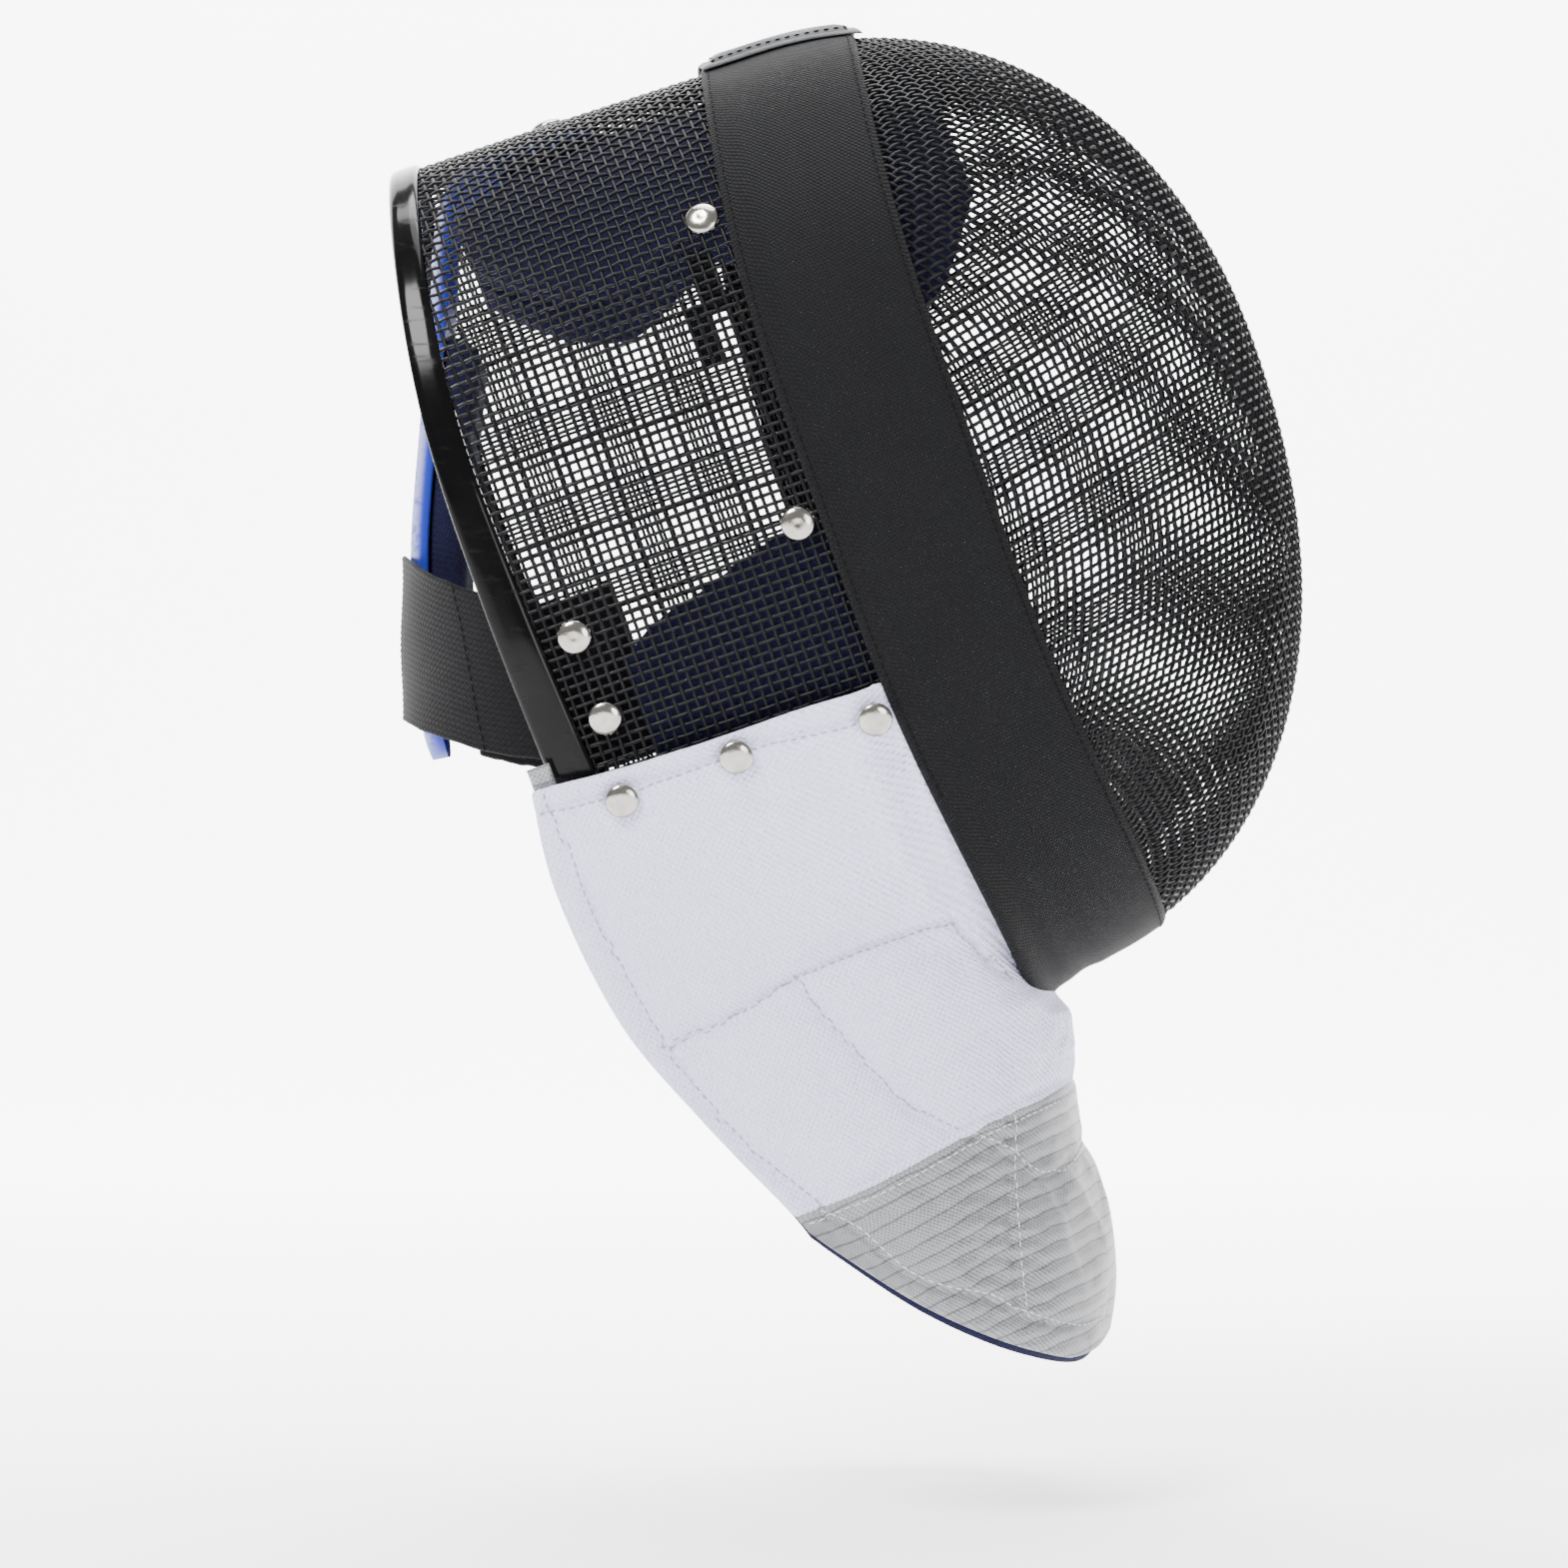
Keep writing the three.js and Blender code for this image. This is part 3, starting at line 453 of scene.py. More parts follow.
class Finish:
    """One material: a principled shader, with helpers for what feeds it."""

    def __init__(self, name, roughness=0.5, metallic=0.0, **sockets):
        self.material = bpy.data.materials.new(name)
        self.material.use_nodes = True
        self.tree = self.material.node_tree
        self.shader = self.tree.nodes["Principled BSDF"]
        self.shader.inputs["Roughness"].default_value = roughness
        self.shader.inputs["Metallic"].default_value = metallic
        for key, value in sockets.items():
            self.shader.inputs[key.replace("_", " ")].default_value = value
        coordinates = self.tree.nodes.new("ShaderNodeTexCoord")
        self.place = coordinates.outputs["Object"]
        self.cloth = coordinates.outputs["UV"]

    def noise(self, scale, detail=3.0, where=None, stretch=None):
        """Noise with lumps about 1 / scale metres across."""
        where = where or self.place
        if stretch:
            where = add(self.tree, "ShaderNodeMapping", {"Vector": where, "Scale": stretch}).outputs[0]
        noise = {"Vector": where, "Scale": scale, "Detail": detail}
        return add(self.tree, "ShaderNodeTexNoise", noise).outputs["Fac"]

    def mix(self, share, low, high):
        """Colour from low to high as the share goes from 0 to 1."""
        return add(self.tree, "ShaderNodeMix", {0: share, 6: low, 7: high}, data_type="RGBA").outputs[2]

    def span(self, value, low, high, start=0.0, end=1.0):
        """A value's range low..high carried to start..end, clamped."""
        ranges = {"Value": value, "From Min": low, "From Max": high, "To Min": start, "To Max": end}
        return add(self.tree, "ShaderNodeMapRange", ranges).outputs[0]

    def threads(self, pitch, across=True, phase=0.0):
        """Rounded threads of a pitch in metres, across or along the cloth map, from 0 to 1."""
        parts = add(self.tree, "ShaderNodeSeparateXYZ", {0: self.cloth}).outputs
        turns = maths(self.tree, "MULTIPLY", parts[0 if across else 1], 2 * math.pi / pitch)
        wave = maths(self.tree, "SINE", maths(self.tree, "ADD", turns, phase))
        return maths(self.tree, "MULTIPLY_ADD", wave, 0.5)

    def half_turns(self, pitch, across=True):
        """+1 and -1 by turns, one for each thread of a pitch."""
        parts = add(self.tree, "ShaderNodeSeparateXYZ", {0: self.cloth}).outputs
        turns = maths(self.tree, "MULTIPLY", parts[0 if across else 1], math.pi / pitch)
        return maths(self.tree, "SINE", turns)

    def weave(self, pitch_across, pitch_along):
        """Height of a plain weave, from 0 to 1: threads pass over and under by turns."""
        warp, weft = self.half_turns(pitch_across), self.half_turns(pitch_along, across=False)
        over = maths(self.tree, "MULTIPLY", warp, weft)
        return self.span(over, -0.9, 0.9)

    def bump(self, height, distance, onto=None):
        """A relief of a height in metres, laid on another one where that is given."""
        relief = {"Height": height, "Distance": distance, "Strength": 1.0}
        if onto is not None:
            relief["Normal"] = onto
        return add(self.tree, "ShaderNodeBump", relief).outputs[0]

    def sum(self, first, first_share, second, second_share):
        """Two values added, each multiplied by its share."""
        return maths(self.tree, "ADD", maths(self.tree, "MULTIPLY", first, first_share),
                     maths(self.tree, "MULTIPLY", second, second_share))

    def feed(self, socket, value):
        self.tree.links.new(value, self.shader.inputs[socket])
        return self


def wire_paint(colour):
    """Black stoving paint on steel wire: semi-gloss, a little uneven."""
    paint = Finish("black wire paint", 0.3, Specular_IOR_Level=0.13)
    blotch = paint.noise(900, 2)
    paint.feed("Base Color", paint.mix(paint.span(blotch, 0.35, 0.7), colour, shaded(colour, 1.9)))
    paint.feed("Roughness", paint.span(paint.noise(260), 0.3, 0.7, 0.26, 0.44))
    return paint.feed("Normal", paint.bump(paint.noise(2500, 1), 0.00008)).material


def dipped_plastic(name, colour, roughness, dent=0.0004, gloss=0.14):
    """PVC that a steel strip was dipped in: glossy, with slow waves and a few scuffs."""
    skin = Finish(name, roughness, Specular_IOR_Level=gloss)
    cloud = skin.noise(26, 2)
    pale = [min(1, c * 1.35 + 0.004) for c in colour[:3]] + [1]
    skin.feed("Base Color", skin.mix(skin.span(cloud, 0.4, 0.7), colour, pale))
    scuffs = skin.span(skin.noise(90, 6, stretch=(1, 1, 6)), 0.56, 0.7, roughness, roughness + 0.22)
    skin.feed("Roughness", scuffs)
    return skin.feed("Normal", skin.bump(cloud, dent)).material


def woven_band(colour, thread_across, thread_along):
    """Polyester webbing: a tight weave of thick threads, with painted shade darkening the rows of gaps between them.
    """
    band = Finish("polyester webbing", 0.7, Sheen_Weight=0.02, Sheen_Roughness=0.45, Specular_IOR_Level=0.1)
    lines = maths(band.tree, "MULTIPLY", band.threads(thread_across * 1.6), 0.35)
    height = maths(band.tree, "ADD", band.weave(thread_across, thread_along), lines)
    dust = maths(band.tree, "MULTIPLY", band.noise(70), 0.5)
    tone = band.span(maths(band.tree, "ADD", height, dust), 0.2, 1.2)
    # Base colour: painted shade where the weave's height is low, plus dust that varies at random.
    band.feed("Base Color", band.mix(tone, shaded(colour, 0.3), colour))
    return band.feed("Normal", band.bump(height, 0.0004)).material


def plain_cloth(name, colour, thread, depth, shade_and_tint=0.05, sheen=0.2, blotch=14):
    """Tightly woven cotton or polyester cloth, with threads that vary a little, and painted shade where the weave
    dips.
    """
    cloth = Finish(name, 0.9, Sheen_Weight=sheen, Sheen_Roughness=0.5, Specular_IOR_Level=0.25)
    height = cloth.weave(thread, thread)
    slubs = cloth.noise(1, 3, where=cloth.cloth, stretch=(180, 1500, 1))
    stains = cloth.noise(blotch, 4)
    tone = cloth.sum(height, 0.45, slubs, 0.5)
    tone = maths(cloth.tree, "ADD", tone, maths(cloth.tree, "MULTIPLY", stains, 0.35))
    # The dark end of this mix is painted shade where the weave dips, together with real tone from slubs and stains.
    cloth.feed("Base Color", cloth.mix(cloth.span(tone, 0.25, 0.95), shaded(colour, 1 - shade_and_tint * 2.4), colour))
    fine = cloth.bump(height, depth)
    return cloth.feed("Normal", cloth.bump(slubs, depth * 0.8, onto=fine)).material


def lame_cloth(colour, thread, rib):
    """Conductive cloth of metal-wound threads: a basket weave, with painted shade as a dark line in the groove
    between ribs.
    """
    cloth = Finish("silver lame", 0.5, 0.45, Sheen_Weight=0.1)
    weave = cloth.weave(thread, thread)
    ridge = cloth.threads(rib, across=False, phase=maths(cloth.tree, "MULTIPLY", cloth.noise(70, 2), 3.5))
    frayed = maths(cloth.tree, "ADD", ridge, maths(cloth.tree, "MULTIPLY", cloth.noise(500), 0.1))
    # Painted shade: a dark line where the ribs' wave is lowest, in the groove between ribs.
    line = cloth.span(frayed, 0.04, 0.13)
    glint = cloth.noise(1, 2, where=cloth.cloth, stretch=(900, 900, 1))
    # Painted shade where the weave dips, and painted glints where the glint noise is high.
    body = cloth.mix(cloth.span(cloth.sum(weave, 0.6, glint, 0.5), 0.15, 0.85), shaded(colour, 0.42), colour)
    cloth.feed("Base Color", cloth.mix(line, shaded(colour, 0.3), body))
    cloth.feed("Roughness", cloth.span(glint, 0.3, 0.7, 0.38, 0.62))
    fine = cloth.bump(weave, 0.00018)
    return cloth.feed("Normal", cloth.bump(ridge, 0.0004, onto=fine)).material


def ribbed_elastic(colour, rib):
    """Elastic webbing: soft ribs along the strap, crossed by fine rubber threads, with some fuzz."""
    strap = Finish("ribbed elastic", 0.88, Sheen_Weight=0.05, Sheen_Roughness=0.4, Specular_IOR_Level=0.1)
    cross = strap.weave(rib / 2, 0.0011)
    fuzz = strap.noise(1400, 3)
    tone = strap.sum(cross, 0.5, fuzz, 0.7)
    # Painted shade: the colour darkens where the bump of the crossing threads and fuzz dips.
    strap.feed("Base Color", strap.mix(strap.span(tone, 0.3, 0.9), shaded(colour, 0.5), colour))
    return strap.feed("Normal", strap.bump(tone, 0.0002)).material


def grained_vinyl(colour):
    """Padded vinyl with a fine leather grain."""
    vinyl = Finish("grained vinyl", 0.45, Specular_IOR_Level=0.3)
    cells = add(vinyl.tree, "ShaderNodeTexVoronoi", {"Vector": vinyl.place, "Scale": 1100}).outputs["Distance"]
    soft = vinyl.noise(90)
    vinyl.feed("Base Color", vinyl.mix(vinyl.span(soft, 0.3, 0.7), shaded(colour, 0.7), colour))
    vinyl.feed("Roughness", vinyl.span(soft, 0.3, 0.7, 0.42, 0.6))
    return vinyl.feed("Normal", vinyl.bump(cells, 0.00015)).material


def polished_nickel(colour):
    """Nickel plate on a pressed rivet: bright, with faint smears."""
    plate = Finish("polished nickel", 0.14, 1.0)
    smear = plate.noise(300, 4)
    plate.feed("Base Color", plate.mix(plate.span(smear, 0.35, 0.75), colour, shaded(colour, 0.72)))
    plate.feed("Roughness", plate.span(smear, 0.3, 0.75, 0.1, 0.26))
    return plate.feed("Normal", plate.bump(plate.noise(700, 2), 0.00006)).material


def sewing_thread(name, colour):
    """Twisted polyester sewing thread."""
    thread = Finish(name, 0.8, Specular_IOR_Level=0.1)
    twist = thread.noise(3500, 1)
    # Painted shade: the colour darkens where the twist's bump dips.
    thread.feed("Base Color", thread.mix(thread.span(twist, 0.35, 0.65), shaded(colour, 0.6), colour))
    return thread.feed("Normal", thread.bump(twist, 0.0001)).material


def studio_paper():
    """Matte white background paper with painted light: it glows, more toward the far side, standing in for paper lit
    from behind.
    """
    paper = Finish("studio paper", 0.95, Specular_IOR_Level=0.1, Emission_Color=(1, 1, 1, 1))
    parts = add(paper.tree, "ShaderNodeSeparateXYZ", {0: paper.place}).outputs
    # Painted light: the paper's emission rises from 0.6 near the camera to 4.5 at the far side, and lights the mask
    # too.
    paper.feed("Emission Strength", paper.span(parts[0], -0.3, 1.3, 0.6, 4.5))
    tone = paper.mix(paper.span(paper.noise(3, 2), 0.3, 0.7), (0.9, 0.9, 0.9, 1), (0.93, 0.93, 0.93, 1))
    return paper.feed("Base Color", tone).material


# Geometry nodes. Each tree takes a mesh of lines with its outward direction at each point.

def node_tree(name, sizes):
    """A geometry tree with named inputs. Returns it, its input and output, and the inputs' identifiers."""
    tree = bpy.data.node_groups.new(name, "GeometryNodeTree")
    tree.interface.new_socket("Geometry", in_out="INPUT", socket_type="NodeSocketGeometry")
    identifiers = {}
    for label, kind in list(sizes.items()) + [("Material", "NodeSocketMaterial")]:
        identifiers[label] = tree.interface.new_socket(label, in_out="INPUT", socket_type=kind).identifier
    tree.interface.new_socket("Geometry", in_out="OUTPUT", socket_type="NodeSocketGeometry")
    return tree, tree.nodes.new("NodeGroupInput").outputs, tree.nodes.new("NodeGroupOutput"), identifiers


def finish_tree(tree, given, end, geometry):
    real = add(tree, "GeometryNodeRealizeInstances", {0: geometry}).outputs[0]
    smooth = add(tree, "GeometryNodeSetShadeSmooth", {"Geometry": real}).outputs[0]
    painted = add(tree, "GeometryNodeSetMaterial", {"Geometry": smooth, "Material": given["Material"]}).outputs[0]
    tree.links.new(painted, end.inputs[0])


def outward(tree):
    return add(tree, "GeometryNodeInputNamedAttribute", {"Name": "outward"}, data_type="FLOAT_VECTOR").outputs[0]


def wire_tree():
    """Crimps each line over and under its neighbours and gives it a round section."""
    sizes = {"Wire Radius": "NodeSocketFloat", "Crimp Height": "NodeSocketFloat", "Sides": "NodeSocketInt"}
    tree, given, end, identifiers = node_tree("woven wire", sizes)
    over = add(tree, "GeometryNodeInputNamedAttribute", {"Name": "over"}, data_type="FLOAT").outputs[0]
    lift = maths(tree, "MULTIPLY", over, given["Crimp Height"])
    shift = add(tree, "ShaderNodeVectorMath", {0: outward(tree), "Scale": lift}, operation="SCALE").outputs[0]
    crimped = add(tree, "GeometryNodeSetPosition", {"Geometry": given["Geometry"], "Offset": shift}).outputs[0]
    curve = add(tree, "GeometryNodeMeshToCurve", {"Mesh": crimped}).outputs[0]
    section = {"Resolution": given["Sides"], "Radius": given["Wire Radius"]}
    ring = add(tree, "GeometryNodeCurvePrimitiveCircle", section).outputs[0]
    tube = {"Curve": curve, "Profile Curve": ring, "Fill Caps": True}
    finish_tree(tree, given, end, add(tree, "GeometryNodeCurveToMesh", tube).outputs[0])
    return tree, identifiers


def stitch_tree():
    """Lays short threads of a pitch along each line."""
    sizes = {"Pitch": "NodeSocketFloat", "Thread Radius": "NodeSocketFloat", "Stitch Length": "NodeSocketFloat"}
    tree, given, end, identifiers = node_tree("sewn line", sizes)
    curve = add(tree, "GeometryNodeMeshToCurve", {"Mesh": given["Geometry"]}).outputs[0]
    steps = add(tree, "GeometryNodeResampleCurve", {"Curve": curve, "Length": given["Pitch"]}, mode="LENGTH")
    tangent = tree.nodes.new("GeometryNodeInputTangent").outputs[0]
    turned = add(tree, "FunctionNodeAlignRotationToVector", {"Vector": tangent}, axis="Z").outputs[0]
    bead = add(tree, "GeometryNodeMeshUVSphere", {"Segments": 6, "Rings": 4, "Radius": 1.0}).outputs[0]
    half = maths(tree, "MULTIPLY", given["Stitch Length"], 0.5)
    radius = given["Thread Radius"]
    size = add(tree, "ShaderNodeCombineXYZ", {0: radius, 1: radius, 2: half}).outputs[0]
    threads = add(tree, "GeometryNodeInstanceOnPoints",
                  {"Points": steps.outputs[0], "Instance": bead, "Rotation": turned, "Scale": size})
    finish_tree(tree, given, end, threads.outputs[0])
    return tree, identifiers


# The dimple in a rivet's head, as shares of the head's radius and height.
DIMPLE_RADIUS, DIMPLE_DEPTH = 0.42, 0.16


def rivet_tree():
    """A pressed, slightly dimpled rivet head on each point, turned to its outward direction."""
    sizes = {"Radius": "NodeSocketFloat", "Height": "NodeSocketFloat", "Sides": "NodeSocketInt"}
    tree, given, end, identifiers = node_tree("rivet heads", sizes)
    disc = add(tree, "GeometryNodeMeshUVSphere", {"Segments": given["Sides"], "Rings": 20, "Radius": 1.0}).outputs[0]
    place = tree.nodes.new("GeometryNodeInputPosition").outputs[0]
    parts = add(tree, "ShaderNodeSeparateXYZ", {0: place}).outputs
    flat = add(tree, "ShaderNodeCombineXYZ", {0: parts[0], 1: parts[1], 2: 0.0}).outputs[0]
    middle = add(tree, "ShaderNodeVectorMath", {0: flat}, operation="LENGTH").outputs["Value"]
    dimple = {"Value": middle, "From Min": 0.0, "From Max": DIMPLE_RADIUS, "To Min": -DIMPLE_DEPTH, "To Max": 0.0}
    sunk = add(tree, "ShaderNodeMapRange", dimple, interpolation_type="SMOOTHSTEP").outputs[0]
    sink = maths(tree, "MULTIPLY", sunk, maths(tree, "GREATER_THAN", parts[2], 0.0))
    down = add(tree, "ShaderNodeCombineXYZ", {2: sink}).outputs[0]
    dimpled = add(tree, "GeometryNodeSetPosition", {"Geometry": disc, "Offset": down}).outputs[0]
    turned = add(tree, "FunctionNodeAlignRotationToVector", {"Vector": outward(tree)}, axis="Z").outputs[0]
    size = add(tree, "ShaderNodeCombineXYZ", {0: given["Radius"], 1: given["Radius"], 2: given["Height"]}).outputs[0]
    heads = add(tree, "GeometryNodeInstanceOnPoints",
                {"Points": given["Geometry"], "Instance": dimpled, "Rotation": turned, "Scale": size})
    finish_tree(tree, given, end, heads.outputs[0])
    return tree, identifiers


def line_mesh(points, normals, links, over=None):
    """A mesh of lines in the row's frame, with the attributes that the trees read."""
    mesh = bpy.data.meshes.new("lines")
    mesh.from_pydata(to_row(points).tolist(), links, [])
    out = mesh.attributes.new("outward", "FLOAT_VECTOR", "POINT")
    out.data.foreach_set("vector", (to_row(normals) * 1000).astype(np.float32).ravel())
    if over is not None:
        mesh.attributes.new("over", "FLOAT", "POINT").data.foreach_set("value", np.asarray(over, np.float32))
    return place_object("lines", mesh)


def grow(name, source, made_tree, values, material):
    """Runs a tree on a mesh of lines and keeps the result as a plain mesh."""
    tree, identifiers = made_tree
    modifier = source.modifiers.new("grow", "NODES")
    modifier.node_group = tree
    for label, value in values.items():
        modifier[identifiers[label]] = value
    modifier[identifiers["Material"]] = material
    bpy.context.view_layer.update()
    grown = source.evaluated_get(bpy.context.evaluated_depsgraph_get())
    mesh = bpy.data.meshes.new_from_object(grown)
    mesh.name = name
    source.modifiers.remove(modifier)
    bpy.data.objects.remove(source)
    if not mesh.polygons:
        raise RuntimeError(f"{name} has no faces")
    return place_object(name, mesh)


# The woven wire cloth.

def section_reach(side, height):
    """Distance from the nose's height to the join's section, in the direction of each point."""
    angle = np.linspace(0, np.pi, 1500)
    radius = section_radius(JOIN_FWD, angle)
    x, up = radius * np.sin(angle), WIDEST_UP + radius * np.cos(angle) - NOSE_UP
    order = np.arctan2(x, up)
    return np.interp(np.arctan2(np.abs(side), height), order, np.hypot(x, up))


def dome_level(points):
    """Below 0 inside the dome, 0 on it. Behind the join it goes on as a straight wall."""
    side, fwd, up = np.moveaxis(points, -1, 0)
    height = up - NOSE_UP
    share = np.hypot(side, height) / section_reach(side, height)
    ahead = np.maximum(0, (fwd - JOIN_FWD) / DOME_DEPTH)
    return share ** DOME_FULLNESS + ahead ** DOME_FULLNESS - 1


def dome_slope(points, step=0.02):
    slope = np.empty(points.shape)
    for axis in range(3):
        shift = np.zeros(3)
        shift[axis] = step
        slope[..., axis] = (dome_level(points + shift) - dome_level(points - shift)) / (2 * step)
    return slope


def spaced(curve, pitch):
    """Points of a fine curve at every pitch along it."""
    lengths = lengths_along(curve)
    return between(curve, lengths, np.arange(0, lengths[-1], pitch))


def nose_row(slope):
    """The wire that leaves the nose for the wearer's left, on a plane that falls to the rear."""
    fwd = JOIN_FWD + DOME_DEPTH * np.cos(np.linspace(0, 1.7, 900))
    up = NOSE_UP - (fwd[0] - fwd) * slope
    low, high = np.zeros(fwd.shape), np.full(fwd.shape, HALF_WIDTH + 5.0)
    for _ in range(40):
        middle = (low + high) / 2
        inside = dome_level(np.stack([middle, fwd, up], -1)) < 0
        low, high = np.where(inside, middle, low), np.where(inside, high, middle)
    return np.stack([(low + high) / 2, fwd, up], -1)


def pressed_net(column, row, pitch, stop_fwd):
    """Woven cloth pressed over the dome: every crossing lies one pitch from its neighbours."""
    net = np.full((len(column), len(row), 3), np.nan)
    net[:, 0], net[0] = column, row
    for diagonal in range(2, len(column) + len(row) - 1):
        i = np.arange(max(1, diagonal - len(row) + 1), min(diagonal, len(column)))
        j = diagonal - i
        a, b, c = net[i - 1, j], net[i, j - 1], net[i - 1, j - 1]
        known = np.isfinite(a + b + c).all(-1) & (np.minimum(a[:, 1], b[:, 1]) > stop_fwd)
        i, j, a, b, c = i[known], j[known], a[known], b[known], c[known]
        if not len(i):
            continue
        point = a + b - c
        # Newton's method: both neighbours one pitch away, and the point on the dome.
        for _ in range(9):
            slope = dome_slope(point)
            left = np.stack([((point - a) ** 2).sum(-1) - pitch ** 2,
                             ((point - b) ** 2).sum(-1) - pitch ** 2, dome_level(point)], -1)
            rates = np.stack([2 * (point - a), 2 * (point - b), slope], -2) + np.eye(3) * 1e-9
            move = np.linalg.solve(rates, -left[..., None])[..., 0]
            far = np.maximum(np.linalg.norm(move, axis=-1), 1e-9)
            point = point + move * np.minimum(1, pitch / far)[:, None]
        sound = (np.abs(dome_level(point)) < 1e-3) & (np.linalg.norm(point - a, axis=-1) < pitch * 1.3)
        net[i[sound], j[sound]] = point[sound]
    return net


def face_net(pitch, fall):
    """Crossings of the face mesh's wires on the wearer's left, from the chin to the crown."""
    stop = JOIN_FWD + 8
    row = spaced(nose_row(math.tan(fall)), pitch)
    row = row[row[:, 1] > stop]
    row[0, 0] = 0
    halves = []
    for angle in (0, np.pi):
        turns = np.sin(np.linspace(np.pi / 2, -0.15, 3000))
        column = spaced(shell_point(turns, angle), pitch)
        column = column[column[:, 1] > stop]
        column[:, 0] = 0
        halves.append(pressed_net(column, row, pitch, stop))
    crown, chin = halves
    return np.concatenate([chin[:0:-1], crown])


def back_net(pitch):
    """Crossings of the back mesh's wires on the wearer's left: rows lie level, columns upright."""
    fwd = np.arange(JOIN_FWD - 3, REAR_FWD, -pitch)
    dense = np.linspace(0, np.pi, 900)
    around = None
    columns = []
    for place in fwd:
        outline = shell_point(turn_at(place), dense)
        lengths = lengths_along(outline)
        if around is None:
            around = int(round(lengths[-1] / pitch / 2) * 2)
        angle = np.interp(np.linspace(0, 1, around + 1) * lengths[-1], lengths, dense)
        points = shell_point(turn_at(place), angle)
        points[place < opening_edge(angle) + 4] = np.nan
        columns.append(points)
    return np.stack(columns)


def weave_lines(net, normals, deep, skip_edge):
    """Lines of both sets of wires through a net of crossings, and which of them lie over."""
    rows, columns = net.shape[:2]
    there = np.isfinite(net).all(-1)
    number = np.cumsum(there.ravel()).reshape(there.shape) - 1
    centre = (net + normals * deep)[there]
    out = normals[there]
    over = (1 - 2 * (np.add.outer(np.arange(rows), np.arange(columns)) % 2))[there]
    count = len(centre)
    links = []
    for r in range(rows):
        for c in range(columns):
            if not there[r, c]:
                continue
            if c + 1 < columns and there[r, c + 1]:
                links.append((int(number[r, c]), int(number[r, c + 1])))
            if r + 1 < rows and there[r + 1, c] and not (skip_edge and c == 0):
                links.append((count + int(number[r, c]), count + int(number[r + 1, c])))
    return np.concatenate([centre, centre]), np.concatenate([out, out]), links, np.concatenate([over, -over])


def wire_cloth(name, net, normals, sizes, material, mirrored):
    """One side of a mesh. The middle wire belongs to the right side alone."""
    if mirrored:
        net, normals = net * [-1, 1, 1], normals * [-1, 1, 1]
    points, out, links, over = weave_lines(net, normals, -MESH_THICKNESS / 2, skip_edge=not mirrored)
    source = line_mesh(points, out, links, over)
    if len({v for link in links for v in link}) < len(points):
        keep = bmesh.new()
        keep.from_mesh(source.data)
        bmesh.ops.delete(keep, geom=[v for v in keep.verts if not v.link_edges], context="VERTS")
        keep.to_mesh(source.data)
        keep.free()
    values = {"Wire Radius": sizes.wire_diameter / 2, "Crimp Height": sizes.wire_crimp,
              "Sides": sizes.wire_sides}
    return grow(name, source, wire_tree(), values, material)


def sheet_normals(grid, centre):
    """Normals of a grid of points, pointing away from a centre line or point."""
    normals = unit(np.cross(np.gradient(grid, axis=0), np.gradient(grid, axis=1)))
    return normals * np.sign((normals * (grid - centre)).sum(-1, keepdims=True))


# Soft parts of the shell.

def edge_share(rows, columns, reach_rows, reach_columns, wrap=False):
    """0 on the border of a grid, rising to 1 as a quarter circle within the given shares."""
    down = np.minimum(np.linspace(0, 1, rows), np.linspace(1, 0, rows)) / reach_rows
    over = np.minimum(np.linspace(0, 1, columns), np.linspace(1, 0, columns)) / reach_columns
    near = np.clip(down, 0, 1)[:, None] * np.ones((1, columns))
    if not wrap:
        near = np.minimum(near, np.clip(over, 0, 1)[None, :])
    return np.sqrt(np.clip(1 - (1 - near) ** 2, 0, 1))


def lumps(points, size, seed=0.0):
    """Slow waves over points, from -1 to 1, as soft parts have."""
    x, y, z = np.moveaxis(np.asarray(points) / size, -1, 0)
    return (np.sin(x * 1.3 + y * 0.7 + seed) * np.cos(z * 1.1 - y * 0.5 + 2 * seed)
            + 0.5 * np.sin(x * 2.9 - z * 2.3 + 3 * seed) * np.sin(y * 2.1 + z * 1.7 + seed)) / 1.5


def band_point(row, angle, lift):
    """Point on the webbing band: row 0 at its rear edge and 1 at its front edge."""
    rear = band_edge(BAND_REAR, BAND_REAR_CROWN, angle)
    front = band_edge(BAND_FRONT, BAND_FRONT_CROWN, angle)
    return on_shell(turn_at(rear + (front - rear) * row), angle, lift)


BAND_GRID = (33, 360)
BAND_RIDE, BAND_SELVAGE, BAND_CREASE, BAND_WAVE = 1.3, 0.25, 0.25, 0.2
BAND_HANG, BAND_RIPPLE = 5.2, 0.9


